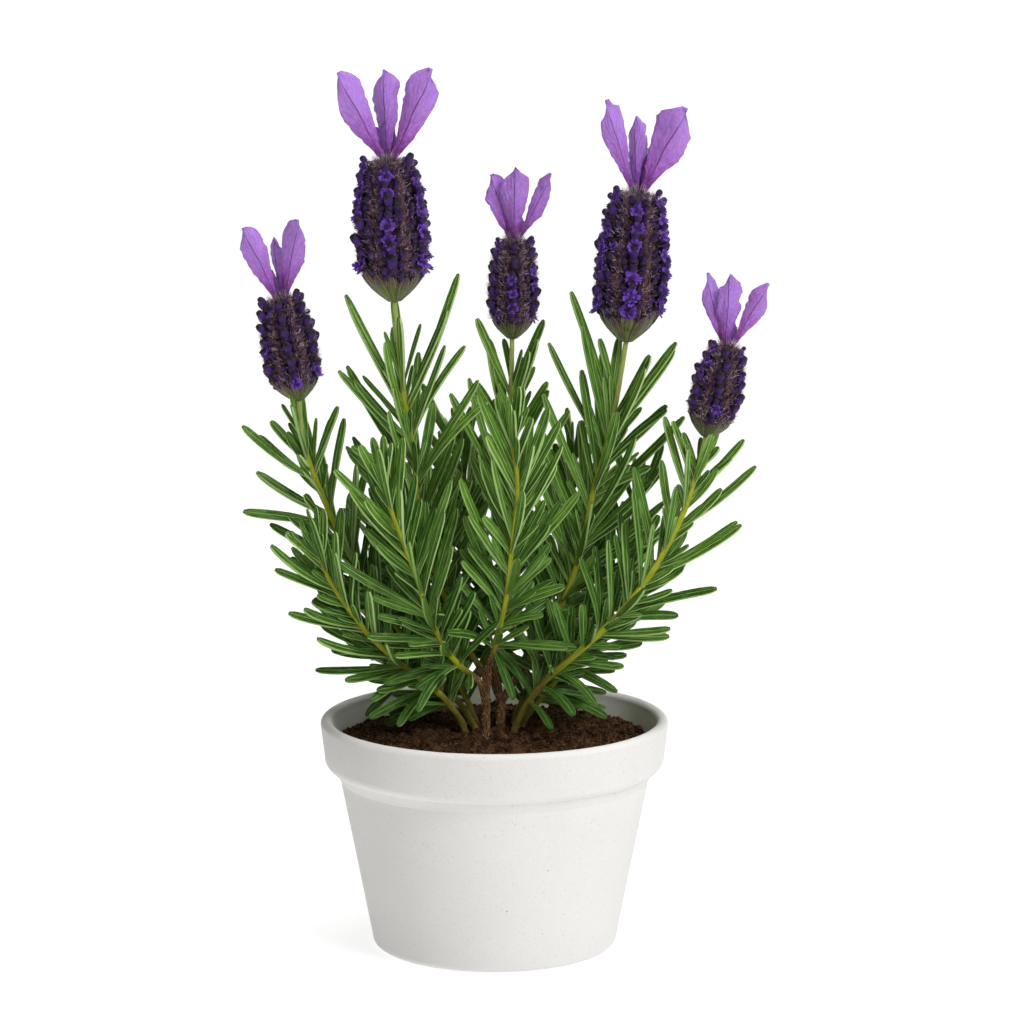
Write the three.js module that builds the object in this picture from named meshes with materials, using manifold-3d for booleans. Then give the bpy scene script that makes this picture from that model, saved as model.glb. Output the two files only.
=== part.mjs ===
// A topped lavender in flower, growing in a plain white pot with a rolled collar.
// Millimetres, +Z up. The origin is the middle of the pot's flat underside, and
// the side that the plant is seen from faces -Y.
import * as THREE from 'three';
import { mergeVertices } from 'three/addons/utils/BufferGeometryUtils.js';
import Module from 'manifold-3d';

const wasm = await Module();
wasm.setup();

// ---- driving dimensions ---------------------------------------------------

const GAP = 0.3;                // left between any two pieces that touch
const POT_HEIGHT = 73.3;
const POT_RIM_RADIUS = 55;      // widest, at the top of the collar
const POT_FOOT_RADIUS = 38.8;
const POT_FOOT_ROUND = 2.6;     // radius of the rounding round the foot
const POT_SHOULDER = [48.7, 53.2];  // radius and height where the body meets the collar
const POT_COLLAR_ROUND = 3.8;   // radius of the rounding under the collar
const POT_COLLAR_LOW = [53.7, 60.8];  // radius and height where that rounding ends
const POT_MOUTH_RADIUS = 51.2;  // inside, at the lip
const POT_FLOOR_RADIUS = 35;    // inside, at the floor
const POT_FLOOR = 5;
const POT_SIDES = 40;
const DRAIN_HOLES = 3;
const DRAIN_RADIUS = 3.5;
const DRAIN_CIRCLE = 18;

const SOIL_EDGE = 66;           // height of the soil at the wall
const SOIL_MOUND = 2;           // how much higher it lies in the middle
const SOIL_LUMP = 0.7;
const SOIL_SIDES = 24;
const SOIL_RINGS = [0.78, 0.52, 0.26];  // of its radius

const LEAF_WIDTH = 3.7;
const LEAF_RIDGE = 0.62;        // the blade's ridge stands this far over its middle line
const LEAF_MARGIN = -0.28;      // its rolled margins hang this far below
const LEAF_ROWS = [[0, 0.28], [0.5, 1], [0.88, 0.86]];  // place along it, width share; then its tip
const SHORT_LEAF_ROWS = [[0, 0.28], [0.62, 1]];
const SHORT_LEAF = 26;          // a leaf up to this long has the fewer rows
const LEAF_BEAT = [1, 0.8, 0.72, 0.86];  // length of one pair after another
const LEAF_FACING = 1.3;        // how strongly its upper side turns outward
const LEAF_REACH = 0.72;        // room kept round a blade's ridge and margins
const LEAF_LIFT = [-0.1, 0.42]; // how far a leaf curves up, at the foot of a shoot and from LIFT_SHARE on
const LIFT_SHARE = 0.4;
const FOOT_LEAF = 0.78;         // the lowest leaves, as a share of the longest
const CROWN_LEAF = 0.72;        // the topmost, where a shoot gives no crown of its own
const LEAF_SPREAD = { at: 0.006, turn: 16, splay: 8, lift: 0.14, length: 0.1, width: 0.1, roll: 14 };
// Changes that a leaf tries, mildest first, until it lies clear of all others.
const EASED = { length: [1, 0.86, 0.72, 0.58], splay: [0, -9, 9, -18], turn: [0, 14, -14, 28, -28, 42, -42] };

const STEM_SIDES = 4;           // the stems are square, as in all its family
const HOLE_SIDES = 6;
const TRUNK_RADIUS = 1.4;
const BRANCH_RADIUS = 1.15;
const TRUNK_SIDES = 5;
const TRUNK_FOOT = 1.15;        // how much thicker a trunk is at its foot

const RANKS = 6;                // upright rows of florets round a spike
const SPIKE_SHARE = [0.26, 0.93];  // the florets' stretch of a head's height
const FLORET_OUT = 0.165;       // of the spike's width
const FLORET_LIFT = 0.55;       // of the step between two rows
const SCALE_OUT = 0.05;
const SCALE_LIFT = 0.8;
const CUP_TEETH = 6;
// Rows of the cup: radius, height, and how far its teeth stand out and up.
const CUP_ROWS = [
  [0.055, 0.008, 0, 0], [0.27, 0.085, 0.02, 0], [0.368, 0.175, 0.055, 0.078], [0.342, 0.178, 0.055, 0.068],
];
const CUP_DISH = 0.085;         // height of the hollow's bottom
// Room kept round a head: from and to, of its height, and radius, of its width.
const HEAD_ROOM = [[0.1, 0.26, 0.3], [0.26, 0.85, 0.59]];

// Rows of a tuft bract: place along it, width share.
const BRACT_ROWS = [[0, 0.18], [0.26, 0.62], [0.54, 1], [0.8, 0.8], [1, 0.1]];
const BRACT_HALF_THICK = 0.36;
const BRACT_FOLD = 0.24;        // depth of its fold and of its wave, of its half width
const BRACT_WAVE = 0.26;
const BRACT_START = [1.1, 0.5]; // out from the head's middle line, and over the spike
const BRACT_ARCH = [1.38, 0.42];  // its lean low down, and what is taken off towards its tip
const NECK_RADIUS = [0.1, 0.05];  // under a tuft, foot and top, of the spike's width
const NECK_HEIGHT = 0.22;

const COLOURS = {
  pot: 0xe6e4df, soil: 0x3d2a1b, wood: 0x5a3d28, leaf: 0x4f7a38,
  cup: 0x6d7a48, spike: 0x47286f, bract: 0xa878cc,
};

// ---- the plan of the plant --------------------------------------------------

// A shoot's route runs from its foot to its tip. It is leafy from the first to the
// second share of its length, with the number of leaf pairs given. The longest leaf,
// the share of it that the topmost leaves reach (under a flower they stay long), the
// splay of the lowest and the topmost leaves in degrees, and the turn of the
// first pair round the stem follow, and leaves face the front (-1) or the back (1).
// A shoot without a trunk is rooted in the soil.
const SHOOTS = {
  tall_left: {
    trunk: 'left', route: [[-4.6, -0.5, 89], [-10.9, 1, 100], [-18.4, 1, 119], [-23.7, 1, 137.4],
      [-25.1, 0.5, 155.7], [-27.6, 0, 172], [-29.4, 0, 188], [-30.9, 0, 204.9]],
    radius: [1.15, 0.95], leafy: [0.07, 0.76], pairs: 14, longest: 37.2, crown: 0.87,
    splay: [70, 30], turn: -4, seed: 655,
  },
  tall_right: {
    trunk: 'right', route: [[8.6, 6, 87], [16, 6.5, 98], [23.3, 7, 113], [27.9, 7, 128],
      [31, 7, 143.5], [35, 7, 158], [38.4, 7, 174], [41.2, 7, 191.4]],
    radius: [1.15, 0.95], leafy: [0.06, 0.78], pairs: 14, longest: 38.2, crown: 0.9,
    splay: [70, 30], turn: 13, seed: 888,
  },
  middle: {
    trunk: 'right', route: [[0.8, 8, 90], [1.7, 10, 104], [2.7, 12, 122], [3.9, 13.5, 141],
      [4.8, 14, 159], [5.2, 14, 175], [5.6, 14, 191.5]],
    radius: [1.1, 0.9], leafy: [0.12, 0.82], pairs: 9, longest: 31.4, crown: 0.82,
    splay: [64, 28], turn: 22, seed: 921,
  },
  far_left: {
    route: [[-5, 6, 58], [-6.6, 6, 69], [-17.3, 6.5, 84], [-29.5, 7, 98.5], [-39.6, 6.5, 113],
      [-47.6, 6, 128], [-54.5, 5, 144], [-60, 4, 160], [-61.1, 3, 173.4]],
    radius: [1.3, 0.95], leafy: [0.27, 0.88], pairs: 13, longest: 30.4, crown: 0.78,
    splay: [74, 32], turn: 0, seed: 449,
  },
  far_right: {
    route: [[4.8, 0.4, 58], [6.6, -0.4, 70], [14.6, -3.4, 84], [27, -7, 96], [38.6, -9, 107.5],
      [49.6, -9.5, 122], [58, -9, 138], [62.6, -8.4, 151], [65.7, -8, 163.6]],
    radius: [1.35, 0.95], leafy: [0.22, 0.9], pairs: 15, longest: 28.4, crown: 0.78,
    splay: [70, 34], turn: -14, seed: 561,
  },
  low_left: {
    route: [[-8, 1, 58], [-9.8, 0.2, 70], [-16.1, -3, 80], [-24.4, -7, 88], [-33, -10.5, 95.4],
      [-42, -14, 106], [-50.4, -17, 119], [-54, -18.5, 128]],
    radius: [1.3, 0.8], leafy: [0.24, 0.97], pairs: 11, longest: 28.4,
    splay: [76, 28], turn: 16, seed: 243,
  },
  front_left: {
    trunk: 'left', route: [[-6.8, -8.6, 88], [-12.3, -11.4, 93.6], [-16.6, -14, 100.5], [-20.8, -17, 110.5],
      [-25, -20, 124.5], [-30, -22, 138], [-33.4, -23, 149]],
    radius: [1.1, 0.75], leafy: [0.1, 0.98], pairs: 11, longest: 29.4,
    splay: [76, 20], turn: 11, seed: 682,
  },
  front: {
    trunk: 'left', route: [[-0.6, -8, 95], [1.6, -11, 104], [3.7, -14.5, 114], [5, -17.5, 126],
      [6.4, -20, 139], [7.2, -22, 152], [5.8, -23, 163]],
    radius: [1.1, 0.75], leafy: [0.04, 0.98], pairs: 11, longest: 31.4,
    splay: [78, 18], turn: 4, seed: 384,
  },
  back: {
    trunk: 'right', route: [[-1.6, 13.5, 88], [-3.4, 20, 101], [-6, 26, 117], [-8.5, 30, 134],
      [-10.5, 32.5, 152]],
    radius: [1.1, 0.75], leafy: [0.14, 0.98], pairs: 9, longest: 30.4,
    splay: [68, 22], turn: 26, faces: 1, seed: 611,
  },
  back_right: {
    trunk: 'right', route: [[8, 12.6, 86], [14, 19, 98], [19.5, 24.5, 113], [23, 28, 130], [25, 30, 149]],
    radius: [1.1, 0.75], leafy: [0.12, 0.98], pairs: 8, longest: 29.4,
    splay: [68, 22], turn: 28, faces: 1, seed: 777,
  },
  back_left: {
    route: [[-4.6, 11, 58], [-6.4, 12.4, 70], [-13.5, 17.5, 84], [-21, 22.5, 99], [-27.4, 26, 115],
      [-32, 28, 134]],
    radius: [1.25, 0.75], leafy: [0.28, 0.98], pairs: 8, longest: 29.4,
    splay: [68, 24], turn: -28, faces: 1, seed: 956,
  },
  right: {
    route: [[6.6, 8, 58], [9.6, 9, 70], [21, 13.5, 84], [32.5, 17.5, 99], [41, 19.5, 117], [45, 20, 138]],
    radius: [1.25, 0.75], leafy: [0.28, 0.98], pairs: 9, longest: 29.4,
    splay: [70, 24], turn: 8, seed: 691,
  },
  low_back_left: {
    route: [[-9.2, 9, 58], [-11.4, 11, 70], [-20.5, 18.5, 79.5], [-30.5, 25, 89], [-38, 30, 103]],
    radius: [1.2, 0.75], leafy: [0.34, 0.97], pairs: 5, longest: 25.5,
    splay: [66, 26], turn: 13, faces: 1, seed: 723,
  },
  low_back_right: {
    route: [[4.4, 13.4, 58], [6.6, 16, 70], [13, 25.5, 79.5], [19.5, 34, 90], [24, 40, 104]],
    radius: [1.2, 0.75], leafy: [0.34, 0.97], pairs: 5, longest: 25.5,
    splay: [66, 26], turn: -16, faces: 1, seed: 224,
  },
};

// A woody trunk rises from the soil to where it forks to the shoots that name it.
const TRUNKS = {
  left: [[-2.6, -3.4, 58], [-2.9, -3.4, 70], [-2.6, -3.8, 80]],
  right: [[1.8, 4.4, 58], [1.9, 4.8, 70], [2.2, 6.4, 78]],
};

// A flower head stands on its shoot and leans by its top's offset from its foot.
// Bracts of its tuft: tilt to the right, tilt to the back, turn of the face away
// from the front, length and width.
const HEADS = {
  tall_left: {
    lean: [-2, 0, 44.6], width: 24.6, whorls: 6,
    tuft: [[-22, -4, -16, 29.4, 10.8], [0, 8, 24, 26.6, 9.2], [24, -3, 14, 29.6, 11], [-4, 26, 66, 19, 7]],
  },
  tall_right: {
    lean: [3.6, 0, 47.4], width: 24.4, whorls: 6,
    tuft: [[-20, -3, -18, 29, 7.6], [-4, 9, 30, 22.4, 7], [19, -4, 8, 28.6, 13.4], [4, 27, -58, 18, 7.4]],
  },
  middle: {
    lean: [0.6, 0, 31.8], width: 16.6, whorls: 5,
    tuft: [[-15, 5, -20, 20, 8], [0, -5, 12, 21.8, 9.2], [24, 2, 24, 22, 6.2], [-3, 25, 62, 15, 6.2]],
  },
  far_left: {
    lean: [-5.4, 0, 32.6], width: 18.6, whorls: 5,
    tuft: [[-13, -4, -14, 23.6, 8.4], [17, -2, 16, 23.8, 8.6], [2, 14, 52, 18, 6.4], [5, 29, -64, 15, 6]],
  },
  far_right: {
    lean: [6.7, 0, 28.8], width: 16.4, whorls: 5,
    tuft: [[-25, 2, -18, 22, 5.8], [-8, -6, 6, 21.5, 7.6], [15, 3, 20, 21.6, 6.6], [-4, 26, 60, 15, 6]],
  },
};

// ---- small tools --------------------------------------------------------------

const vec = (x, y, z) => new THREE.Vector3(x, y, z);
const UP = vec(0, 0, 1);
const mix = (a, b, share) => a + (b - a) * share;
const rad = THREE.MathUtils.degToRad;

// A seeded draw between 0 and 1, the same on every run.
function drawer(seed) {
  let state = seed * 7919 + 17;
  return () => {
    state = (state * 16807) % 2147483647;
    return state / 2147483647;
  };
}

function geometryOf(points, faces) {
  const geometry = new THREE.BufferGeometry().setFromPoints(points);
  geometry.setIndex(faces.flat());
  return geometry;
}

// Skin over a row of rings that all turn the same way round the direction of travel.
// A last ring of one point makes a tip; the other ends are closed flat.
function loft(rings) {
  const points = rings.flat();
  const sides = rings[0].length;
  const faces = [];
  for (let k = 2; k < sides; k++) faces.push([0, k, k - 1]);
  rings.slice(1).forEach((ring, row) => {
    const low = row * sides;
    for (let k = 0; k < sides; k++) {
      const next = (k + 1) % sides;
      if (ring.length === 1) {
        faces.push([low + k, low + next, low + sides]);
      } else {
        faces.push([low + k, low + next, low + sides + next], [low + k, low + sides + next, low + sides + k]);
      }
    }
  });
  const last = points.length - sides;
  if (rings.at(-1).length > 1) {
    for (let k = 2; k < sides; k++) faces.push([last, last + k - 1, last + k]);
  }
  return geometryOf(points, faces);
}

function solid(geometry) {
  const bare = geometry.clone();
  bare.deleteAttribute('normal');
  bare.deleteAttribute('uv');
  const merged = mergeVertices(bare, 1e-4);
  return new wasm.Manifold(new wasm.Mesh({
    numProp: 3,
    vertProperties: new Float32Array(merged.attributes.position.array),
    triVerts: new Uint32Array(merged.index.array),
  }));
}

// Joins overlapping geometries into one body; a scrap that touches nothing is dropped.
function fuse(geometries) {
  const whole = geometries.map(solid).reduce((sum, next) => sum.add(next));
  const bodies = whole.decompose().sort((a, b) => Math.abs(b.volume()) - Math.abs(a.volume()));
  return bodies[0];
}

function meshOf(name, manifold, color, roughness = 0.8) {
  const { vertProperties, triVerts, numProp } = manifold.getMesh();
  const points = [];
  for (let k = 0; k < vertProperties.length; k += numProp) {
    points.push(vec(vertProperties[k], vertProperties[k + 1], vertProperties[k + 2]));
  }
  const geometry = geometryOf(points, [Array.from(triVerts)]);
  geometry.computeVertexNormals();
  const mesh = new THREE.Mesh(geometry, new THREE.MeshStandardMaterial({ color, roughness, metalness: 0 }));
  mesh.name = name;
  return mesh;
}

// ---- pot and soil ---------------------------------------------------------------

// Points of a profile's round stretch, from one angle to another in degrees.
function arc([r, z], radius, from, to, steps) {
  return Array.from({ length: steps + 1 }, (_, k) => {
    const angle = rad(mix(from, to, k / steps));
    return [r + radius * Math.cos(angle), z + radius * Math.sin(angle)];
  });
}

function potGeometry() {
  const lip = (POT_RIM_RADIUS - POT_MOUTH_RADIUS) / 2;
  const outline = [
    [0, 0],
    ...arc([POT_FOOT_RADIUS - POT_FOOT_ROUND, POT_FOOT_ROUND], POT_FOOT_ROUND, -90, 0, 2),
    POT_SHOULDER,
    ...arc([POT_COLLAR_LOW[0] - POT_COLLAR_ROUND, POT_COLLAR_LOW[1]], POT_COLLAR_ROUND, -90, 0, 2),
    ...arc([POT_MOUTH_RADIUS + lip, POT_HEIGHT - lip], lip, 0, 180, 4),
    [POT_FLOOR_RADIUS, POT_FLOOR], [0, POT_FLOOR],
  ];
  return new THREE.LatheGeometry(outline.map((point) => new THREE.Vector2(...point)), POT_SIDES)
    .rotateX(Math.PI / 2);
}

function drainHole(index) {
  const angle = (index / DRAIN_HOLES) * 2 * Math.PI;
  return new THREE.CylinderGeometry(DRAIN_RADIUS, DRAIN_RADIUS, 3 * POT_FLOOR, 12)
    .rotateX(Math.PI / 2)
    .translate(DRAIN_CIRCLE * Math.cos(angle), DRAIN_CIRCLE * Math.sin(angle), 0);
}

function makePot() {
  let pot = solid(potGeometry());
  for (let k = 0; k < DRAIN_HOLES; k++) pot = pot.subtract(solid(drainHole(k)));
  return meshOf('pot', pot, COLOURS.pot, 0.55);
}

// Inner wall of the pot at a height.
function wallRadius(z) {
  return mix(POT_FLOOR_RADIUS, POT_MOUTH_RADIUS, (z - POT_FLOOR) / (POT_HEIGHT - 1.2 - POT_FLOOR));
}

// Lumpy surface of the soil, raised in the middle.
function soilHeight(x, y) {
  const out = Math.hypot(x, y) / POT_MOUTH_RADIUS;
  const broad = Math.sin(x * 0.33 + 1.3) * Math.cos(y * 0.29 - 0.6);
  const fine = 0.6 * Math.sin(x * 0.71 - y * 0.62 + 2.1);
  return SOIL_EDGE + SOIL_MOUND * (1 - out * out) + SOIL_LUMP * (broad + fine);
}

function soilGeometry() {
  const ring = (radius, height) => Array.from({ length: SOIL_SIDES }, (_, k) => {
    const angle = (k / SOIL_SIDES) * 2 * Math.PI;
    const x = radius * Math.cos(angle);
    const y = radius * Math.sin(angle);
    return vec(x, y, height ?? soilHeight(x, y));
  });
  const edge = wallRadius(SOIL_EDGE - 2) - GAP * 1.5;
  const floor = POT_FLOOR + GAP;
  return loft([
    ring(wallRadius(floor) - GAP * 1.5, floor), ring(edge, SOIL_EDGE - 2), ring(edge - 0.6),
    ...SOIL_RINGS.map((share) => ring(edge * share)), [vec(0, 0, soilHeight(0, 0))],
  ]);
}

// ---- stems --------------------------------------------------------------------

const curveThrough = (points) => new THREE.CatmullRomCurve3(points, false, 'catmullrom', 0.5);
const curveOf = (route) => curveThrough(route.map((point) => vec(...point)));

// Axes across a direction: the first lies level, the second rises.
function across(direction) {
  const level = vec(direction.z, 0, -direction.x).normalize();
  return [level, vec().crossVectors(direction, level)];
}

function stemRing(centre, direction, radius, sides = STEM_SIDES) {
  const [level, rise] = across(direction);
  return Array.from({ length: sides }, (_, k) => {
    const angle = ((k + 0.5) / sides) * 2 * Math.PI;
    return centre.clone()
      .addScaledVector(level, radius * Math.cos(angle))
      .addScaledVector(rise, radius * Math.sin(angle));
  });
}

// A tapering stem along a curve, with a ring at each point of its route.
function stem(curve, [thick, thin], sides = STEM_SIDES) {
  const rows = curve.points.length - 1;
  return loft(curve.points.map((point, k) => (
    stemRing(point, curve.getTangent(k / rows), mix(thick, thin, k / rows), sides))));
}

// The plain hole in the soil that a stem stands in, open at the surface.
function stemHole(curve, radius) {
  const rows = curve.points.length - 1;
  const wide = radius + 2 * GAP;
  const above = curve.points.findIndex((point) => point.z > SOIL_EDGE + 3 * SOIL_MOUND);
  const rings = curve.points.slice(0, above + 1).map((point, k) => (
    stemRing(point, curve.getTangent(k / rows), wide, HOLE_SIDES)));
  for (const point of rings[0]) point.addScaledVector(curve.getTangent(0), -GAP);
  return loft(rings);
}

// ---- leaves ----------------------------------------------------------------------

// Leaves grow longer to halfway up a shoot, then change to those of its crown.
function lengthShare(share, crown) {
  return share < 0.5 ? mix(FOOT_LEAF, 1, share * 2) : mix(1, crown, share * 2 - 1);
}

// The leaves of a shoot, in crossed pairs, lowest first. Every leaf takes the same
// number of draws, so that one leaf never changes the next.
function leavesOf(shoot) {
  const draw = drawer(shoot.seed);
  const spread = (name) => (draw() - 0.5) * 2 * LEAF_SPREAD[name];
  const leaves = [];
  for (let pair = 0; pair < shoot.pairs; pair++) {
    const share = pair / (shoot.pairs - 1);
    const along = mix(...shoot.leafy, share ** 0.92);
    const length = shoot.longest * LEAF_BEAT[pair % 4] * lengthShare(share, shoot.crown ?? CROWN_LEAF);
    for (const half of [0, 180]) {
      leaves.push({
        at: along + spread('at'),
        turn: shoot.turn + pair * 90 + half + spread('turn'),
        splay: mix(...shoot.splay, share ** 0.5) + spread('splay'),
        lift: mix(...LEAF_LIFT, Math.min(share / LIFT_SHARE, 1)) + spread('lift'),
        length: length * (1 + spread('length')),
        width: LEAF_WIDTH * (1 + spread('width')),
        roll: spread('roll'),
        faces: shoot.faces ?? -1,
      });
    }
  }
  return leaves;
}

// A leaf's middle line and the frame across it.
function bladeFrame(curve, leaf) {
  const foot = curve.getPoint(leaf.at);
  const axis = curve.getTangent(leaf.at);
  const [level, rise] = across(axis);
  const turn = rad(leaf.turn);
  const out = level.multiplyScalar(Math.cos(turn)).addScaledVector(rise, Math.sin(turn));
  const splay = rad(leaf.splay);
  const start = axis.clone().multiplyScalar(Math.cos(splay)).addScaledVector(out, Math.sin(splay));
  return (u) => {
    const centre = foot.clone()
      .addScaledVector(start, leaf.length * u)
      .addScaledVector(UP, leaf.length * leaf.lift * u * u * 0.5);
    const along = start.clone().addScaledVector(UP, leaf.lift * u).normalize();
    const flat = vec().crossVectors(along, axis).normalize();
    const outward = vec(0, leaf.faces, 0).addScaledVector(along, -leaf.faces * along.y);
    const top = vec().crossVectors(flat, along).addScaledVector(outward, LEAF_FACING).normalize();
    const side = vec().crossVectors(along, top).applyAxisAngle(along, rad(leaf.roll));
    return { centre, side, top: vec().crossVectors(side, along) };
  };
}

function bladeRings(curve, leaf) {
  const frame = bladeFrame(curve, leaf);
  const rows = leaf.length > SHORT_LEAF ? LEAF_ROWS : SHORT_LEAF_ROWS;
  const rings = rows.map(([u, share]) => {
    const { centre, side, top } = frame(u);
    const half = leaf.width * share * 0.5;
    return [
      centre.clone().addScaledVector(side, -half).addScaledVector(top, LEAF_MARGIN),
      centre.clone().addScaledVector(top, LEAF_RIDGE),
      centre.clone().addScaledVector(side, half).addScaledVector(top, LEAF_MARGIN),
    ];
  });
  rings.push([frame(1).centre]);
  return rings;
}

// ---- keeping leaves clear of each other ----------------------------------------

// Everything solid so far, as straight bars: ends, room round it, and its node.
const bars = [];

function barOf(a, b) {
  return { a, b, middle: a.clone().add(b).multiplyScalar(0.5), half: a.distanceTo(b) * 0.5 };
}

function addBars(points, reach, node) {
  for (let k = 1; k < points.length; k++) bars.push({ ...barOf(points[k - 1], points[k]), reach, node });
}

// Smallest distance between two straight bars.
function barDistance(p, q) {
  const d1 = p.b.clone().sub(p.a);
  const d2 = q.b.clone().sub(q.a);
  const r = p.a.clone().sub(q.a);
  const [a, e, b, c, f] = [d1.dot(d1), d2.dot(d2), d1.dot(d2), d1.dot(r), d2.dot(r)];
  const spanned = a * e - b * b;
  let s = spanned > 1e-9 ? THREE.MathUtils.clamp((b * f - c * e) / spanned, 0, 1) : 0;
  let t = (b * s + f) / e;
  if (t < 0 || t > 1) {
    t = THREE.MathUtils.clamp(t, 0, 1);
    s = THREE.MathUtils.clamp((b * t - c) / a, 0, 1);
  }
  return r.addScaledVector(d1, s).addScaledVector(d2, -t).length();
}

function bladeBars(rings) {
  const tip = rings.at(-1)[0];
  return [0, 1, 2].flatMap((line) => {
    const points = rings.slice(0, -1).map((ring) => ring[line]).concat([tip]);
    return points.slice(1).map((b, k) => ({ ...barOf(points[k], b), row: k }));
  });
}

// A blade keeps off its own shoot too, past its lowest stretch.
function isClear(rings, node) {
  return bladeBars(rings).every((edge) => bars.every((bar) => {
    if (bar.node === node && (edge.row === 0 || bar.row === 0)) return true;
    const need = bar.reach + LEAF_REACH * (bar.node === node ? 0.8 : 1);
    if (edge.middle.distanceTo(bar.middle) > edge.half + bar.half + need) return true;
    return barDistance(edge, bar) >= need;
  }));
}

// A leaf stays over the rim, and over the soil inside it.
function isOverPot(rings) {
  return rings.flat().every((p) => {
    const out = Math.hypot(p.x, p.y);
    const floor = out > wallRadius(POT_HEIGHT) - 2 ? POT_HEIGHT : SOIL_EDGE + SOIL_MOUND + SOIL_LUMP;
    return p.z > floor + 1;
  });
}

function* easedLeaves(leaf) {
  for (const length of EASED.length) {
    for (const splay of EASED.splay) {
      for (const turn of EASED.turn) {
        yield { ...leaf, turn: leaf.turn + turn, splay: leaf.splay + splay, length: leaf.length * length };
      }
    }
  }
}

function placeLeaf(curve, leaf, node) {
  for (const eased of easedLeaves(leaf)) {
    const rings = bladeRings(curve, eased);
    if (isOverPot(rings) && isClear(rings, node)) return rings;
  }
  return null;
}

// ---- shoots and trunks ----------------------------------------------------------

function makeShoots(curves) {
  const parts = {};
  for (const [name, shoot] of Object.entries(SHOOTS)) {
    const blades = [];
    for (const leaf of leavesOf(shoot)) {
      const rings = placeLeaf(curves[name], leaf, name);
      if (!rings) continue;
      blades.push(loft(rings));
      for (const edge of bladeBars(rings)) bars.push({ ...edge, reach: LEAF_REACH, node: name });
    }
    const whole = fuse([stem(curves[name], shoot.radius), ...blades]);
    parts[name] = meshOf(`shoot_${name}`, whole, COLOURS.leaf, 0.7);
  }
  return parts;
}

// A branch leaves the trunk's top and ends square to the shoot that it carries.
function branchCurve(trunk, shootCurve) {
  const direction = shootCurve.getTangent(0);
  const end = shootCurve.getPoint(0).addScaledVector(direction, -GAP);
  const top = vec(...trunk.at(-1));
  const knee = end.clone().addScaledVector(direction, -0.4 * top.distanceTo(end));
  return curveThrough([top, knee, end]);
}

function makeTrunk(side, curves) {
  const route = TRUNKS[side];
  const carried = Object.keys(SHOOTS).filter((name) => SHOOTS[name].trunk === side);
  const pieces = [stem(curveOf(route), [TRUNK_RADIUS * TRUNK_FOOT, TRUNK_RADIUS], TRUNK_SIDES)];
  for (const name of carried) {
    const radius = [BRANCH_RADIUS, SHOOTS[name].radius[0]];
    pieces.push(stem(branchCurve(route, curves[name]), radius, TRUNK_SIDES));
  }
  return meshOf(`trunk_${side}`, fuse(pieces), COLOURS.wood, 0.9);
}

function blockHead(name, foot) {
  const lean = vec(...HEADS[name].lean);
  for (const [from, to, room] of HEAD_ROOM) {
    const points = [from, to].map((share) => foot.clone().addScaledVector(lean, share));
    addBars(points, HEADS[name].width * room, `head_${name}`);
  }
}

function blockStemsAndHeads(curves) {
  for (const [name, shoot] of Object.entries(SHOOTS)) {
    addBars(curves[name].getPoints(14), shoot.radius[0] + GAP, name);
    if (HEADS[name]) blockHead(name, curves[name].getPoint(1));
  }
  for (const [side, route] of Object.entries(TRUNKS)) {
    addBars(curveOf(route).getPoints(4), TRUNK_RADIUS + 2 * GAP, `trunk_${side}`);
    for (const name of Object.keys(SHOOTS).filter((key) => SHOOTS[key].trunk === side)) {
      addBars(branchCurve(route, curves[name]).getPoints(4), BRANCH_RADIUS + GAP, `trunk_${side}`);
    }
  }
}

function makeSoil(curves) {
  let soil = solid(soilGeometry());
  const rooted = Object.entries(SHOOTS).filter(([, shoot]) => !shoot.trunk);
  for (const [name, shoot] of rooted) soil = soil.subtract(solid(stemHole(curves[name], shoot.radius[0])));
  for (const route of Object.values(TRUNKS)) {
    soil = soil.subtract(solid(stemHole(curveOf(route), TRUNK_RADIUS * TRUNK_FOOT)));
  }
  return meshOf('soil', soil, COLOURS.soil, 1);
}

// ---- flower heads: local frame, standing on the origin along +Z ------------------

// Half width of a spike along its height, bare of florets, as a share of its width.
function spikeRadius(share) {
  return 0.4 * Math.sin(Math.PI * Math.min(1, 0.2 + share * 0.66)) ** 0.7;
}

const turned = (angle, radius, z) => vec(radius * Math.sin(angle), -radius * Math.cos(angle), z);
const ringAt = (sides, radius, z) => Array.from(
  { length: sides }, (_, k) => turned((k / sides) * 2 * Math.PI, radius, z));

// Ribbed green cup of pointed bracts under the spike, hollowed like a shallow dish.
function cupGeometry(height, width) {
  const toothed = ([radius, z, outward, rise]) => Array.from({ length: CUP_TEETH * 2 }, (_, k) => {
    const tooth = k % 2 === 0 ? 1 : 0;
    return turned((k / CUP_TEETH) * Math.PI, width * (radius + outward * tooth), height * (z + rise * tooth));
  });
  return loft([...CUP_ROWS.map(toothed), [vec(0, 0, height * CUP_DISH)]]);
}

// A spike's skin: florets stand out in upright ranks, each rank half a step up from
// its neighbours, with a column of pointed scales between two ranks.
function spikeGeometry(height, width, whorls) {
  const steps = whorls * 2;
  const columns = RANKS * 4;
  const step = (SPIKE_SHARE[1] - SPIKE_SHARE[0]) / steps;
  const skin = (row) => Array.from({ length: columns }, (_, k) => {
    const share = SPIKE_SHARE[0] + row * step;
    const isFloret = k % 4 === 0 && (row + k / 4) % 2 === 1 && row > 0;
    const isScale = k % 4 === 2 && row % 2 === 0;
    const out = (isFloret ? FLORET_OUT : isScale ? SCALE_OUT : 0) * mix(1.08, 0.8, row / steps);
    const lift = (isFloret ? FLORET_LIFT : isScale ? SCALE_LIFT : 0) * step;
    return turned((k / columns) * 2 * Math.PI, width * (spikeRadius(share) + out), height * (share + lift));
  });
  const rows = Array.from({ length: steps + 1 }, (_, row) => skin(row));
  const plain = (share, radius) => ringAt(columns, width * radius, height * share);
  return loft([plain(0.106, 0.03), plain(0.185, 0.245), ...rows, plain(1, 0.16)]);
}

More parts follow.
